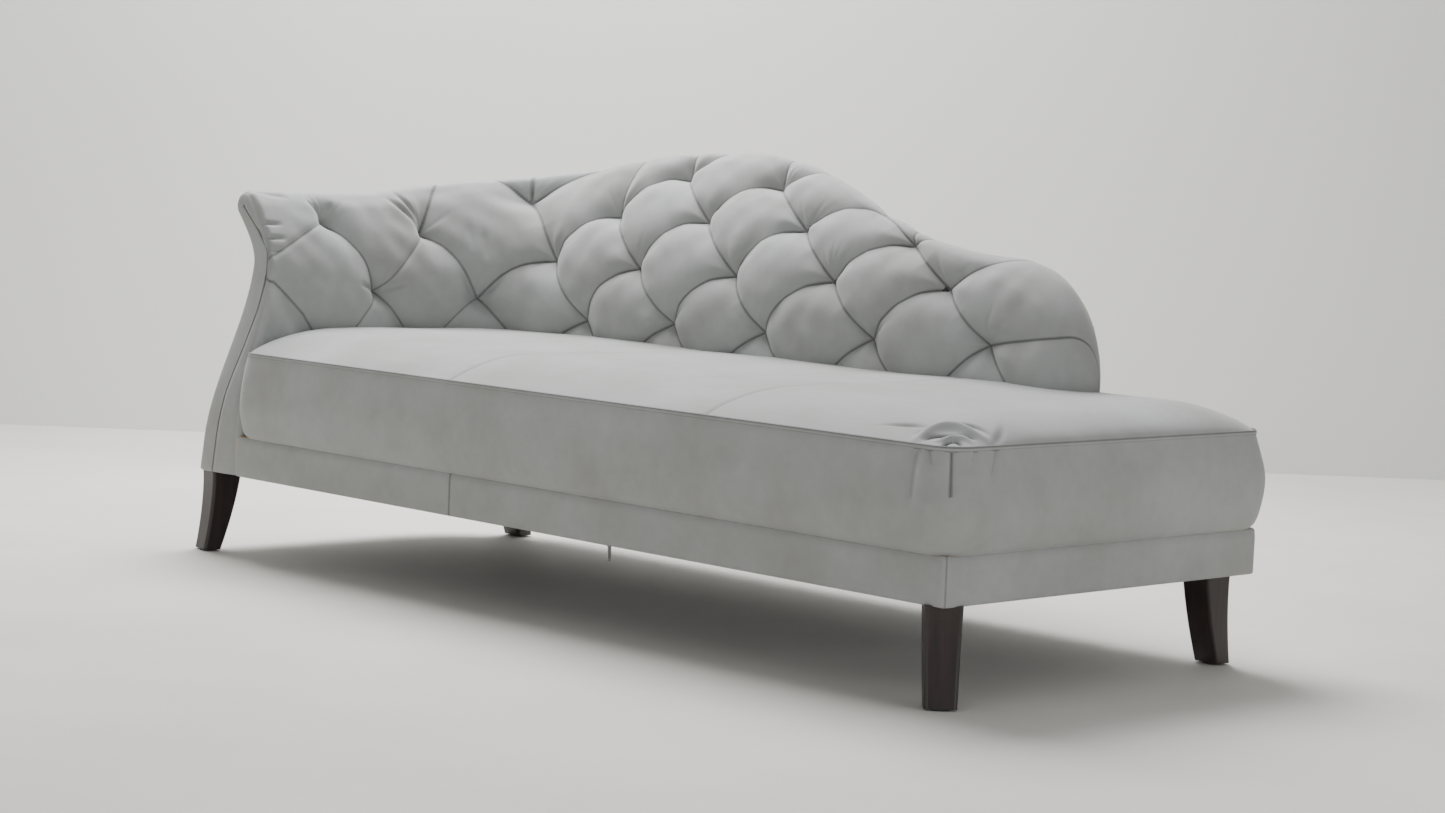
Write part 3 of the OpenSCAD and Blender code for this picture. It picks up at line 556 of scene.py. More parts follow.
def new_material(name):
    """Material with one principled shader, its node tree and the shader."""
    material = bpy.data.materials.new(name)
    material.use_nodes = True
    tree = material.node_tree
    tree.nodes.clear()
    out = tree.nodes.new("ShaderNodeOutputMaterial")
    shader = tree.nodes.new("ShaderNodeBsdfPrincipled")
    tree.links.new(shader.outputs["BSDF"], out.inputs["Surface"])
    return material, tree, shader


def noise(tree, scale, detail=3.0, roughness=0.5, stretch=(1, 1, 1)):
    """Noise on object coordinates, stretched along the axes."""
    coordinates = tree.nodes.new("ShaderNodeTexCoord")
    mapping = tree.nodes.new("ShaderNodeMapping")
    mapping.inputs["Scale"].default_value = stretch
    texture = tree.nodes.new("ShaderNodeTexNoise")
    texture.inputs["Scale"].default_value = scale
    texture.inputs["Detail"].default_value = detail
    texture.inputs["Roughness"].default_value = roughness
    tree.links.new(coordinates.outputs["Object"], mapping.inputs["Vector"])
    tree.links.new(mapping.outputs["Vector"], texture.inputs["Vector"])
    return texture.outputs["Fac"]


def ramp(tree, value, low, high, low_colour, high_colour):
    """Colour that changes from one to another as a value goes from low to high."""
    node = tree.nodes.new("ShaderNodeValToRGB")
    node.color_ramp.elements[0].position = low
    node.color_ramp.elements[1].position = high
    node.color_ramp.elements[0].color = (*low_colour, 1)
    node.color_ramp.elements[1].color = (*high_colour, 1)
    tree.links.new(value, node.inputs["Fac"])
    return node.outputs["Color"]


def mix(tree, kind, factor, a, b):
    """Two colours mixed by a factor; each of the three is a number or colour, or a socket."""
    node = tree.nodes.new("ShaderNodeMix")
    node.data_type = "RGBA"
    node.blend_type = kind
    if isinstance(factor, float):
        node.inputs["Factor"].default_value = factor
    else:
        tree.links.new(factor, node.inputs["Factor"])
    for socket, value in (("A", a), ("B", b)):
        target = [i for i in node.inputs if i.name == socket and i.type == "RGBA"][0]
        if isinstance(value, tuple):
            target.default_value = (*value, 1)
        else:
            tree.links.new(value, target)
    return [o for o in node.outputs if o.type == "RGBA"][0]


def bump(tree, value, strength, distance):
    """Normal bent by a value."""
    node = tree.nodes.new("ShaderNodeBump")
    node.inputs["Strength"].default_value = strength
    node.inputs["Distance"].default_value = distance
    tree.links.new(value, node.inputs["Height"])
    return node.outputs["Normal"]


CLOTH_LIGHT = (0.375, 0.385, 0.380)
CLOTH_DARK = (0.315, 0.318, 0.306)


def brushed_cloth(name, seams=False):
    """Soft brushed microfibre: mottled grey, fine nap, a little sheen; painted shade in seams and
    folds.
    """
    material, tree, shader = new_material(name)
    broad = noise(tree, 5.0, 4.0, 0.6)
    fine = noise(tree, 46.0, 3.0, 0.6)
    colour = ramp(tree, broad, 0.35, 0.68, CLOTH_DARK, CLOTH_LIGHT)
    streak = ramp(tree, fine, 0.3, 0.7, (0.90, 0.90, 0.90), (1.0, 1.0, 1.0))
    colour = mix(tree, "MULTIPLY", 0.6, colour, streak)
    if seams:
        # Painted shade: the cloth darkens where the attribute's distance to a seam, stitch row, crease
        # or fold trough is small, standing in for the shade that falls there.
        seam_shade_attribute = tree.nodes.new("ShaderNodeAttribute")
        seam_shade_attribute.attribute_name = "seam"
        line = ramp(tree, seam_shade_attribute.outputs["Fac"], 0.0, 0.0035, (0.10, 0.10, 0.10), (1, 1, 1))
        colour = mix(tree, "MULTIPLY", 0.8, colour, line)
    tree.links.new(colour, shader.inputs["Base Color"])
    shader.inputs["Roughness"].default_value = 0.88
    shader.inputs["Specular IOR Level"].default_value = 0.25
    shader.inputs["Sheen Weight"].default_value = 0.25
    shader.inputs["Sheen Roughness"].default_value = 0.45
    nap = noise(tree, 900.0, 2.0, 0.5)
    shade = bump(tree, nap, 0.25, 0.0006)
    tree.links.new(shade, shader.inputs["Normal"])
    return material


def stained_wood(name):
    """Dark stained wood with a fine grain up the leg."""
    material, tree, shader = new_material(name)
    grain = noise(tree, 22.0, 5.0, 0.6, (3, 3, 0.25))
    colour = ramp(tree, grain, 0.3, 0.7, (0.010, 0.006, 0.006), (0.030, 0.017, 0.015))
    tree.links.new(colour, shader.inputs["Base Color"])
    shader.inputs["Roughness"].default_value = 0.38
    shader.inputs["Specular IOR Level"].default_value = 0.5
    tree.links.new(bump(tree, grain, 0.12, 0.0008), shader.inputs["Normal"])
    return material


def plain(name, colour, roughness, metallic=0.0):
    """Slightly mottled colour for inner and small parts."""
    material, tree, shader = new_material(name)
    mottled = noise(tree, 60.0, 3.0)
    darker = tuple(c * 0.8 for c in colour)
    tree.links.new(ramp(tree, mottled, 0.3, 0.7, darker, colour), shader.inputs["Base Color"])
    shader.inputs["Roughness"].default_value = roughness
    shader.inputs["Metallic"].default_value = metallic
    return material


TUFTED_CLOTH = brushed_cloth("tufted_cloth", seams=True)
PLAIN_CLOTH = brushed_cloth("plain_cloth")
SEAM_SHADED_CLOTH = brushed_cloth("seamed_cloth", seams=True)
LEG_WOOD = stained_wood("leg_wood_finish")
BLACK_CLOTH = plain("black_cloth_finish", (0.02, 0.02, 0.022), 0.9)
BLACK_PLASTIC = plain("black_plastic_finish", (0.02, 0.02, 0.02), 0.5)
STEEL = plain("steel_finish", (0.45, 0.45, 0.45), 0.35, 1.0)
TIMBER = plain("timber_finish", (0.55, 0.38, 0.22), 0.7)
PLYWOOD = plain("plywood_finish", (0.62, 0.47, 0.30), 0.7)
JUTE = plain("jute_finish", (0.40, 0.30, 0.18), 0.95)
FOAM = plain("foam_finish", (0.80, 0.72, 0.50), 0.95)

SLOT_MATERIALS = {
    "frame_timber": TIMBER,
    "plywood": PLYWOOD,
    "steel": STEEL,
    "elastic": BLACK_CLOTH,
    "jute": JUTE,
    "foam": FOAM,
    "wadding": FOAM,
    "cover_fabric": PLAIN_CLOTH,
    "black_cloth": BLACK_CLOTH,
    "black_plastic": BLACK_PLASTIC,
    "leg_wood": LEG_WOOD,
}


def paint_cad_nodes():
    """Puts the finished material of each record slot on the CAD nodes that use it."""
    for row in frame["record"]["subparts"]:
        mesh = frame["nodes"][row["node"]].data
        mesh.materials.clear()
        mesh.materials.append(SLOT_MATERIALS[row["material_slot"]])


# ------------------------------------------------------------------ tufted covers

FRONT_ROUND = 0.018
CAP = 0.070
# Height and half width of the felled seam up the arm front, and half width of its groove.
FELL_PROUD = 0.0010
FELL_REACH = 0.0080
FELL_GROOVE = 0.0022
# Spacing of points along the path and number of points up the section of the inside cover.
STEP = 0.0032
SECTION_POINTS = 200
# How much of the tufting is lost over the crest, behind it, at the arm front and at the end.
CREST_CALM, CREST_BACK_CALM = 0.78, 0.8
FRONT_CALM, END_CALM = 0.75, 0.8
# The seam up the arm front: its reach at a few heights.
SEAM_HEIGHTS = [0.160, 0.238, 0.319, 0.407, 0.486, 0.560, 0.600, 0.640, 0.684]
SEAM_REACHES = [0.075, 0.062, 0.049, 0.026, 0.010, 0.005, 0.010, 0.045, 0.095]


def wrap_front(u, o, z, aim):
    """Carries a section round the front of the arm to its seam.

    From the inner edge to the seam, t goes from 0 to 1; the section closes onto the seam by
    the square of t while the front comes forward on a quarter ellipse.
    """
    t = np.clip((FRONT_ROUND - u) / CAP, 0, 1)
    path = np.maximum(u, FRONT_ROUND)
    roll_z = roll_centre(path)[1]
    aim = np.minimum(aim, roll_z)
    seam_o = np.interp(aim, SEAM_HEIGHTS, SEAM_REACHES)
    o = o + (seam_o - o) * t * t
    z = z + (aim - z) * t * t
    points = place(path, o, z)
    forward = FRONT_ROUND * np.sqrt(np.clip(1 - (1 - t) ** 2, 0, 1))
    points[..., 1] = points[..., 1] - forward
    return points


def inside_points(u, s):
    """Base surface of the inside cover at path u and arc length s."""
    path = np.maximum(u, FRONT_ROUND)
    o, z = section(path, s)
    on_roll = s > arc_at(lip(path))
    return wrap_front(u, o, z, np.where(on_roll, 1.0, z))


def roll_centre(u):
    """Reach and height of the middle of the rolled edge."""
    z_lip = lip(u)
    beta = lean_angle(z_lip)
    r = roll_radius(u)
    return flare(z_lip) + r * np.cos(beta), z_lip - r * np.sin(beta)


def path_samples(start, end, step):
    """Path positions at about even spacing, closer together near the foot end of the back."""
    u = np.linspace(start, end, int(round((end - start) / step)) + 1)
    if start < FRONT_ROUND:
        u = np.concatenate([np.linspace(start, FRONT_ROUND, 60), u[u > FRONT_ROUND]])
    if end > PATH_END - 0.01:
        tail = PATH_END - 0.25
        keep = u[u < tail]
        a = np.linspace(0, np.pi / 2, 110)
        u = np.concatenate([keep, tail + (end - tail) * np.sin(a)])
    return u


def calm_share(u, s, roll_start):
    """Share of the tufting that shows: less over the crest, at the arm front and at the back's end."""
    calm = 1 - CREST_CALM * smooth((s - roll_start + 0.03) / 0.06)
    calm *= 1 - CREST_BACK_CALM * smooth((s - roll_start - 0.06) / 0.03)
    calm *= 1 - FRONT_CALM * smooth((FRONT_ROUND - u) / 0.02)
    calm *= 1 - END_CALM * smooth((u - (PATH_END - 0.10)) / 0.10)
    return calm


def inside_cover(name, start, end, bottom, nodes):
    """Tufted inside cover from a height at the bottom, up, and over the rolled edge."""
    u = path_samples(start, end, STEP)
    share = np.linspace(0, 1, SECTION_POINTS)
    uu, ss = np.meshgrid(u, share, indexing="ij")
    first = arc_at(bottom)
    s = first + ss * (section_end(np.maximum(uu, 0)) - first)
    base = inside_points(uu, s)
    height, seam = tuft_displacement(uu, s)
    roll_start = arc_at(lip(np.maximum(uu, 0)))
    height = height * calm_share(uu, s, roll_start)
    below_seat = smooth((arc_at(SEAM_TOP) - s) / 0.05)
    flat_height = PILLOW_HEIGHT * (1 - FRONT_CALM * smooth((FRONT_ROUND - uu) / 0.02))
    height = height + (flat_height - height) * below_seat
    front_seam = np.full(uu.shape, 1.0)
    if start < FRONT_ROUND:
        front_seam = np.linalg.norm(base - base[:1], axis=-1)
        height = height * smooth(front_seam / 0.014)
        height = height + FELL_PROUD * np.exp(-((front_seam / FELL_REACH) ** 6))
        height = height - 2 * FELL_PROUD * np.exp(-((front_seam / FELL_GROOVE) ** 2))
    points = base + normals_of(base) * height[..., None]
    # Painted shade along the tuft seams and along the felled seam at the arm front.
    thing = grid_object(name, points, {"seam": np.minimum(seam, front_seam)})
    return finish_piece(thing, nodes, TUFTED_CLOTH)


MID_CORNER = ARM_RUN + CORNER_RUN / 2
HEM_ROUND = 0.004
HEM_TURN = 0.030


def outside_cover(name, start, end, nodes):
    """Outside cover: from the end of the roll down to the base, then turned in under it."""
    u = path_samples(start, end, 0.010)
    wall = np.zeros(70)
    share = np.concatenate([np.linspace(0, 1, len(wall)), [1.0, 1.0, 1.0]])
    hem_in = np.concatenate([wall, [0.3 * HEM_ROUND, HEM_ROUND, HEM_TURN]])
    hem_down = np.concatenate([wall, [0.7 * HEM_ROUND, HEM_ROUND, HEM_ROUND]])
    uu, ss = np.meshgrid(u, share, indexing="ij")
    path = np.maximum(uu, FRONT_ROUND)
    z_end = section(path, section_end(path))[1]
    bottom = BASE_BOTTOM + HEM_ROUND - 0.002
    z = z_end + (bottom - z_end) * ss
    o = outside(path, z) - hem_in
    near_roll = smooth((z - (z_end - 0.05)) / 0.05)
    aim = z + (roll_centre(path)[1] - z) * near_roll
    points = wrap_front(uu, o, z - hem_down, aim - hem_down)
    on_front = np.clip((FRONT_ROUND - uu) / CAP, 0, 1)
    points[..., 1] += hem_in * smooth(on_front * 2)
    # Painted shade along the seam at the arm front.
    seam = np.full(uu.shape, 1.0)
    if start < FRONT_ROUND:
        seam = np.linalg.norm(points - points[:1], axis=-1)
    thing = grid_object(name, points, {"seam": seam})
    return finish_piece(thing, nodes, SEAM_SHADED_CLOTH)


# ------------------------------------------------------------------ cushion

BULGE = 0.012
FOOT_SWELL = 0.6
EDGE_RISE = 0.200
END_RISE = 0.140
CROWN = 0.044
CUSHION_CORNER = 0.045
HEAD_X = 0.003
HEAD_CORNER = 0.062
# How sharply the crown rises from an edge, and how full it is at the foot and rear edges.
RISE_POWER = 2.2
END_FULLNESS = 0.72
# How far the top stands out past the seat at the sides and at the foot end.
TOP_OUT_SIDE, TOP_OUT_FOOT = 0.002, 0.004


def to_quarter_disc(a, b):
    """Maps the unit square onto the unit quarter disc, keeping the two sides in place."""
    far = np.maximum(a, b)
    length = np.maximum(np.hypot(a, b), 1e-9)
    return a * far / length, b * far / length


# Pleats of the top round the front foot corner: radius, ring width, height, angles from and to.
PLEATS = (
    (0.088, 0.010, 0.0120, 92, 180),
    (0.066, 0.005, -0.0085, 98, 174),
    (0.050, 0.006, 0.0070, 96, 168),
    (0.034, 0.004, -0.0070, 100, 172),
    (0.108, 0.005, -0.0060, 97, 168),
)
SHORT_FOLDS = ((0.150, 0.010, 160, 0.0045), (0.120, 0.012, 96, 0.0045))


def corner_pleats(x, y):
    """Ring-shaped pleats about the front foot corner, with a short straight fold on each side."""
    dx = x - SEAT_LENGTH
    r = np.hypot(dx, y)
    angle = np.degrees(np.arctan2(y, dx))
    total = np.zeros_like(r)
    for radius, width, height, start, stop in PLEATS:
        middle = (start + stop) / 2
        wobble = 0.006 * np.sin(np.radians(angle) * 5 + radius * 90)
        fade = np.clip(1 - ((angle - middle) / ((stop - start) / 2)) ** 2, 0, 1)
        total += height * fade * np.exp(-(((r - radius - wobble) / width) ** 2))
    for radius, width, direction, depth in SHORT_FOLDS:
        off = r * np.radians(angle - direction - 20 * (r - radius) / 0.1)
        total -= depth * np.exp(-((off / 0.006) ** 2)) * np.exp(-(((r - radius) / 0.03) ** 2))
    return total


def round_off(x, y, corner, way, radius):
    """Moves the points of a square corner onto a quarter disc; way points into the cushion."""
    across = np.clip(1 - way[0] * (x - corner[0]) / radius, 0, 1)
    up = np.clip(1 - way[1] * (y - corner[1]) / radius, 0, 1)
    in_corner = (across > 0) & (up > 0)
    disc_across, disc_up = to_quarter_disc(across, up)
    x = np.where(in_corner, corner[0] + way[0] * radius * (1 - disc_across), x)
    y = np.where(in_corner, corner[1] + way[1] * radius * (1 - disc_up), y)
    return x, y


def corner_inset(past, radius):
    """How far a quarter circle stands in from the edge, at a distance past its start."""
    past = np.clip(past, 0, radius)
    return radius - np.sqrt(np.clip(radius**2 - past**2, 0, None))


def rise(distance, reach, fullness=1.0):
    """Curve that climbs from 0 at an edge to 1 at its reach; a lower fullness starts steeper."""
    return (1 - (1 - np.clip(distance / reach, 0, 1)) ** RISE_POWER) ** fullness


def cushion_top():
    """Crowned top of the cushion over its plan, high in the middle and low at every free edge.

    The rise is the product of one curve per free edge, each measured to the rounded outline.
    """
    x0, x1 = HEAD_X, SEAT_LENGTH + TOP_OUT_FOOT
    y0, y1 = -TOP_OUT_SIDE, SEAT_DEPTH + TOP_OUT_SIDE
    r = CUSHION_CORNER
    a = np.linspace(0, 1, 420)
    b = np.linspace(0, 1, 200)
    aa, bb = np.meshgrid(a, b, indexing="ij")
    x = x0 + (x1 - x0) * (aa - 0.03 * np.sin(2 * np.pi * aa))
    y = y0 + (y1 - y0) * (bb - 0.06 * np.sin(2 * np.pi * bb))
    x, y = round_off(x, y, (x1, y0), (-1, 1), r)
    x, y = round_off(x, y, (x1, y1), (-1, -1), r)
    x, y = round_off(x, y, (x0, y0), (1, 1), HEAD_CORNER)
    side_inset = corner_inset(x - (x1 - r), r)
    end_inset = corner_inset(y0 + r - y, r) + corner_inset(y - (y1 - r), r)
    head_inset = corner_inset(x0 + HEAD_CORNER - x, HEAD_CORNER)
    height = rise(y - y0 - side_inset - head_inset, EDGE_RISE)
    height = height * rise(x1 - x - end_inset, END_RISE, END_FULLNESS)
    height = height * rise(y1 - y - side_inset, END_RISE, END_FULLNESS)
    z = SEAM_TOP - 0.002 + CROWN * height
    z = z + 0.0012 * soft_noise(np.stack([x, y], -1), 0.35, 3) * np.clip(height * 3, 0, 1)
    # Distance to the panel seams: it cuts a shallow groove and places painted shade along them.
    seam = np.minimum(np.abs(x - FIRST_SEAM_X), np.abs(x - SECOND_SEAM_X))
    z = z - 0.0022 * np.exp(-((seam / 0.004) ** 2))
    pleats = corner_pleats(x, y)
    z = z + pleats
    # Painted shade in the pleat troughs: the distance shrinks where the pleats dip.
    seam = np.minimum(seam, 0.0040 * np.exp(pleats / 0.004))
    points = np.stack([x, y, z], -1)
    thing = grid_object("seat_top_panels", points, {"seam": seam})
    nodes = ["seat_cover_head", "seat_cover_middle", "seat_cover_foot"]
    return finish_piece(thing, nodes, SEAM_SHADED_CLOTH)


def edge_path(offset, radius, head_corner=HEAD_CORNER):
    """Line round the free sides of the seat in plan, from the arm to the end of the back.

    Straight runs joined by quarter circles: head corner, front, two foot corners, rear.
    """
    right = SEAT_LENGTH + offset
    front = -offset
    rear = SEAT_DEPTH + offset
    head = HEAD_X
    corners = (
        (head, front, head_corner, 180),
        (right, front, radius, 270),
        (right, rear, radius, 0),
    )
    points = [np.array([[head, 0.120]])]
    for x, y, r, start in corners:
        cx = x + r if start == 180 else x - r
        cy = y + r if y < 0.2 else y - r
        angle = np.radians(start + np.linspace(0, 90, 25))
        points.append(np.stack([cx + r * np.cos(angle), cy + r * np.sin(angle)], -1))
    points.append(np.array([[BACK_END - 0.03, rear]]))
    return evenly_spaced(np.concatenate(points), 0.0035)


def running_length(line):
    """Distance of each point from the start of a line, along the line."""
    gaps = np.linalg.norm(np.diff(line, axis=0), axis=1)
    return np.concatenate([[0], np.cumsum(gaps)])


def past_foot_corner(path, run):
    """Distance along a line measured from the front foot corner."""
    corner = np.argmin(np.hypot(path[:, 0] - SEAT_LENGTH, path[:, 1]))
    return run - run[corner]


def evenly_spaced(line, step):
    """The same line with points at even spacing."""
    run = running_length(line)
    spots = np.linspace(0, run[-1], int(run[-1] / step))
    return np.stack([np.interp(spots, run, line[:, k]) for k in (0, 1)], -1)


WALL_TUCK = 0.004
WALL_OUT = 0.006
# Creases of the cushion wall at the front foot corner: distance from the corner, height from
# and to, width and depth.
WALL_CREASES = (
    (0.0, 0.0, 0.325, 0.405, 0.0030, 0.0040),
    (-0.052, -0.058, 0.310, 0.388, 0.0080, 0.0035),
    (0.060, 0.086, 0.345, 0.396, 0.0060, 0.0032),
    (-0.020, -0.036, 0.362, 0.400, 0.0050, 0.0040),
    (0.022, 0.040, 0.366, 0.400, 0.0050, 0.0030),
)


def cushion_wall():
    """Side wall of the cushion: tucked in above the band, swollen, then in to the seam."""
    path = edge_path(0.0, CUSHION_CORNER)
    normals = plan_normals(path)
    t = np.linspace(0, 1, 60)
    out = -WALL_TUCK + (WALL_TUCK + WALL_OUT) * (1 - np.exp(-t / 0.03))
    fuller = 1 + FOOT_SWELL * smooth((path[:, 0] - SEAT_LENGTH + 0.5) / 0.5)
    swell = BULGE * np.sin(np.pi * t**0.85)
    out = out[None, :] + fuller[:, None] * swell[None, :] - 0.002 * t[None, :]
    z = BAND_TOP - 0.002 + (SEAM_TOP - 0.003 - BAND_TOP) * t
    along = past_foot_corner(path, running_length(path))[:, None]
    crease = np.zeros((len(path), len(t)))
    for a0, a1, z0, z1, width, depth in WALL_CREASES:
        share = (z - z0) / (z1 - z0)
        centre = a0 + (a1 - a0) * np.clip(share, 0, 1)
        fade = smooth((z - z0) / 0.02) * smooth((z1 + 0.02 - z) / 0.02)
        crease += depth * fade * np.exp(-(((along - centre) / width) ** 2))
    lumps = 0.0012 * soft_noise(np.stack(np.broadcast_arrays(along, z[None, :]), -1), 0.13, 8)
    reach = out - crease + lumps * np.sin(np.pi * t)[None, :]
    points = np.zeros((len(path), len(t), 3))
    points[..., :2] = path[:, None, :] + normals[:, None, :] * reach[..., None]
    points[..., 2] = z
    # Painted shade: a thin dark line up the seam at the front foot corner, and darkening in the wall
    # creases.
    corner_seam = np.where(z[None, :] > 0.33, np.abs(along) + 0.0006, 1.0)
    fold_shade = 0.0050 * np.exp(-crease / 0.008)
    thing = grid_object("seat_boxing", points, {"seam": np.minimum(fold_shade, corner_seam)})
    return finish_piece(thing, ["seat_wadding", "seat_foam"], SEAM_SHADED_CLOTH)


def plan_normals(path):
    """Outward normals of a line in plan that runs anticlockwise."""
    tangent = np.gradient(path, axis=0)
    tangent /= np.linalg.norm(tangent, axis=1, keepdims=True)
    return np.stack([tangent[:, 1], -tangent[:, 0]], -1)


SEAM_WIDTH = 0.0105
SEAM_PROUD = 0.0034


def raised_seam():
    """Flat felled seam with two rows of stitching, swept round the top edge of the cushion."""
    path = edge_path(0.003, CUSHION_CORNER)
    normals = plan_normals(path)
    t = np.linspace(-1, 1, 25)
    proud = SEAM_PROUD * (1 - np.abs(t) ** 5)
    proud = proud - 0.0011 * np.exp(-(((np.abs(t) - 0.6) / 0.12) ** 2))
    points = np.zeros((len(path), len(t), 3))
    points[..., :2] = path[:, None, :] + normals[:, None, :] * (proud - 0.0010)[None, :, None]
    points[..., 2] = SEAM_TOP - SEAM_WIDTH / 2 + SEAM_WIDTH / 2 * t
    # Painted shade along the two stitch rows and at both edges of the seam.
    to_stitches = np.abs(np.abs(t) - 0.6) * SEAM_WIDTH / 2
    lines = np.minimum(to_stitches, (1 - np.abs(t)) * SEAM_WIDTH / 2)
    seam = np.broadcast_to(lines + 0.0012, points.shape[:2])
    thing = grid_object("seat_seam", points, {"seam": seam})
    return finish_piece(thing, ["seat_welt"], SEAM_SHADED_CLOTH)


# How far the band is turned in at the top, and how far its hem hangs below the base.
BAND_TURN = 0.045
BAND_DROP = 0.0018


def base_band():
    """Fabric band round the base, its edges turned in at the top and under the bottom."""
    path = edge_path(0.0, 0.012, head_corner=0.006)
    normals = plan_normals(path)
    height = BAND_TOP - BASE_BOTTOM
    inset = np.array([HEM_TURN, 0.004, 0.0012, 0, 0, 0, 0, 0, 0.0012, 0.004, BAND_TURN])
    share = np.array([0.0, 0.0, 0.015, 0.05, 0.2, 0.4, 0.6, 0.8, 0.965, 0.995, 1.0])
    points = np.zeros((len(path), len(share), 3))
    points[..., :2] = path[:, None, :] - normals[:, None, :] * inset[None, :, None]
    points[..., 2] = BASE_BOTTOM - BAND_DROP + (height + BAND_DROP) * share
    # Painted shade: a dark line along the band's seam and up its front foot corner.
    run = running_length(path)
    at_corner = np.abs(past_foot_corner(path, run))[:, None] + np.full(len(share), 0.0014)
    seam = np.minimum(np.abs(points[..., 0] - BAND_SEAM_X), at_corner)
    thing = grid_object("base_band", points, {"seam": seam})
    finish_piece(thing, ["base_cover_head", "base_cover_foot"], SEAM_SHADED_CLOTH)
    return thing


# ------------------------------------------------------------------ studio

LENS_MM = 74.8
SENSOR_MM = 36.0
CAMERA_AT = np.array([4.895, -3.367, 0.841])
CAMERA_YAW = 46.235
CAMERA_PITCH = 4.932
CAMERA_ROLL = 2.362


def make_camera():
    """Camera past the foot end: turned left, tipped down and rolled a little."""
    yaw, pitch, roll = (math.radians(a) for a in (CAMERA_YAW, CAMERA_PITCH, CAMERA_ROLL))
    look = Vector(
        (
            -math.sin(yaw) * math.cos(pitch),
            math.cos(yaw) * math.cos(pitch),
            -math.sin(pitch),
        )
    )
    right = Vector((math.cos(yaw), math.sin(yaw), 0))
    up = right.cross(look)
    right_2 = right * math.cos(roll) + up * math.sin(roll)
    up_2 = up * math.cos(roll) - right * math.sin(roll)
    turn = Matrix((right_2, up_2, -look)).transposed()
    data = bpy.data.cameras.new("camera")
    data.lens = LENS_MM
    data.sensor_width = SENSOR_MM
    data.sensor_fit = "HORIZONTAL"
    data.clip_start, data.clip_end = 0.1, 200
    camera = bpy.data.objects.new("camera", data)
    camera.matrix_world = Matrix.Translation(Vector(CAMERA_AT + ORIGIN)) @ turn.to_4x4()
    bpy.context.scene.collection.objects.link(camera)
    bpy.context.scene.camera = camera


# Two points of the wall's foot, how far it runs on past them, and its height.
WALL_FROM = (-2.42, 0.89)
WALL_TO = (0.28, 3.85)
WALL_PAST = 12.0
WALL_HEIGHT = 6.0
FLOOR_REACH = 40.0


def make_wall():
    """Pale wall that stands on the floor behind the daybed and shows from its front only."""
    material, tree, shader = new_material("wall_finish")
    see_through = tree.nodes.new("ShaderNodeBsdfTransparent")
    side = tree.nodes.new("ShaderNodeNewGeometry")
    choose = tree.nodes.new("ShaderNodeMixShader")
    surface = shader.outputs["BSDF"].links[0].to_socket
    tree.links.new(side.outputs["Backfacing"], choose.inputs[0])
    tree.links.new(shader.outputs["BSDF"], choose.inputs[1])
    tree.links.new(see_through.outputs["BSDF"], choose.inputs[2])
    tree.links.new(choose.outputs["Shader"], surface)
    patches = noise(tree, 0.5, 3.0, 0.5)
    tree.links.new(
        ramp(tree, patches, 0.3, 0.7, (0.80, 0.80, 0.79), (0.86, 0.86, 0.85)),
        shader.inputs["Base Color"],
    )
    shader.inputs["Roughness"].default_value = 0.8
    a = np.array([*WALL_FROM, 0.0]) + ORIGIN
    b = np.array([*WALL_TO, 0.0]) + ORIGIN
    along = (b - a) / np.linalg.norm(b - a)
    left, right = a - WALL_PAST * along, b + WALL_PAST * along
    up = np.array([0, 0, WALL_HEIGHT])
    data = bpy.data.meshes.new("wall")
    corners = [tuple(left), tuple(right), tuple(right + up), tuple(left + up)]
    data.from_pydata(corners, [], [(0, 1, 2, 3)])
    data.materials.append(material)
    wall = bpy.data.objects.new("wall", data)
    bpy.context.scene.collection.objects.link(wall)


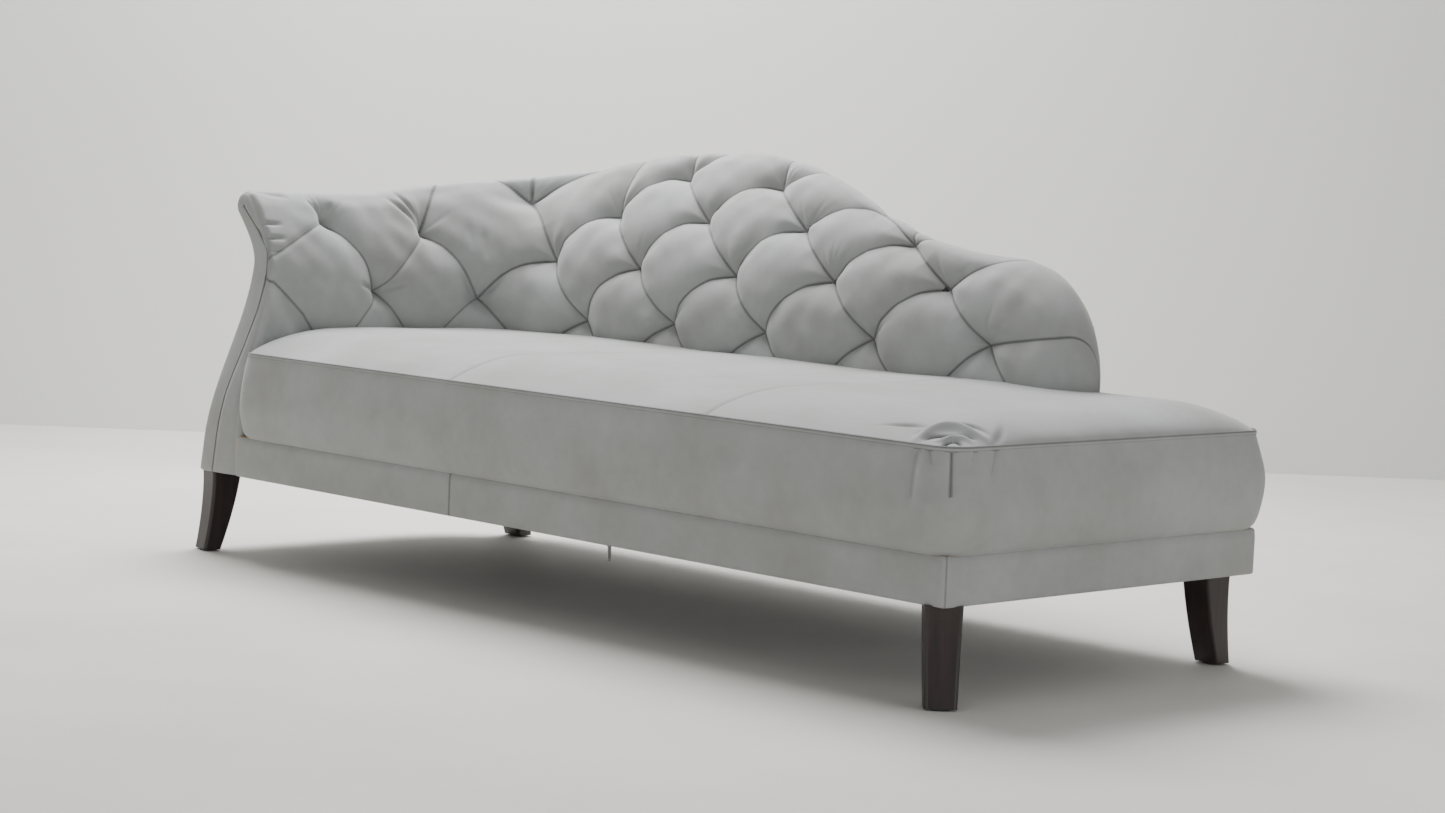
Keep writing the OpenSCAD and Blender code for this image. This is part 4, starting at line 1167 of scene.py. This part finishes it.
def make_floor():
    """Pale floor of worn concrete."""
    material, tree, shader = new_material("floor_finish")
    patches = noise(tree, 1.2, 5.0, 0.6)
    tree.links.new(
        ramp(tree, patches, 0.3, 0.7, (0.60, 0.58, 0.54), (0.70, 0.68, 0.64)),
        shader.inputs["Base Color"],
    )
    shader.inputs["Roughness"].default_value = 0.7
    data = bpy.data.meshes.new("floor")
    s = FLOOR_REACH
    data.from_pydata([(-s, -s, 0), (s, -s, 0), (s, s, 0), (-s, s, 0)], [], [(0, 1, 2, 3)])
    data.materials.append(material)
    floor = bpy.data.objects.new("floor", data)
    bpy.context.scene.collection.objects.link(floor)


def area_light(name, place_at, target, size, power):
    """Soft rectangular light that the camera doesn't see."""
    data = bpy.data.lights.new(name, "AREA")
    data.shape = "RECTANGLE"
    data.size, data.size_y = size
    data.energy = power
    light = bpy.data.objects.new(name, data)
    light.location = place_at
    light.visible_camera = False
    direction = Vector(target) - Vector(place_at)
    light.rotation_euler = direction.to_track_quat("-Z", "Y").to_euler()
    bpy.context.scene.collection.objects.link(light)


def make_lights():
    """Bright even room light from above, with soft fills from the front and the foot end."""
    world = bpy.data.worlds.new("studio")
    bpy.context.scene.world = world
    world.use_nodes = True
    background = world.node_tree.nodes["Background"]
    background.inputs["Color"].default_value = (0.93, 0.95, 0.96, 1)
    background.inputs["Strength"].default_value = 0.40
    area_light("ceiling", (-1.6, 0.8, 3.3), (0.1, 0.0, 0.3), (2.6, 2.0), 330)
    area_light("front_fill", (2.4, -5.0, 1.4), (0.4, 0, 0.4), (3.5, 2.0), 38)
    area_light("foot_fill", (2.6, -0.2, 0.45), (0.9, 0, 0.25), (1.2, 0.6), 7)


# ------------------------------------------------------------------ build

paint_cad_nodes()
inside_cover(
    "tufted_arm_cover",
    FRONT_ROUND - CAP,
    MID_CORNER,
    BASE_BOTTOM,
    ["inside_arm_cover", "arm_facing", "arm_foam", "arm_hessian"],
)
inside_cover(
    "tufted_back_cover",
    MID_CORNER,
    PATH_END,
    HIDDEN_BELOW,
    ["inside_back_cover", "back_end_cover", "back_foam", "back_hessian"],
)
outside_cover("outside_of_arm", FRONT_ROUND - CAP, MID_CORNER, ["outside_arm_cover"])
outside_cover("outside_of_back", MID_CORNER, PATH_END, ["outside_back_cover"])
cushion_top()
cushion_wall()
raised_seam()
base_band()
make_camera()
make_floor()
make_wall()
make_lights()
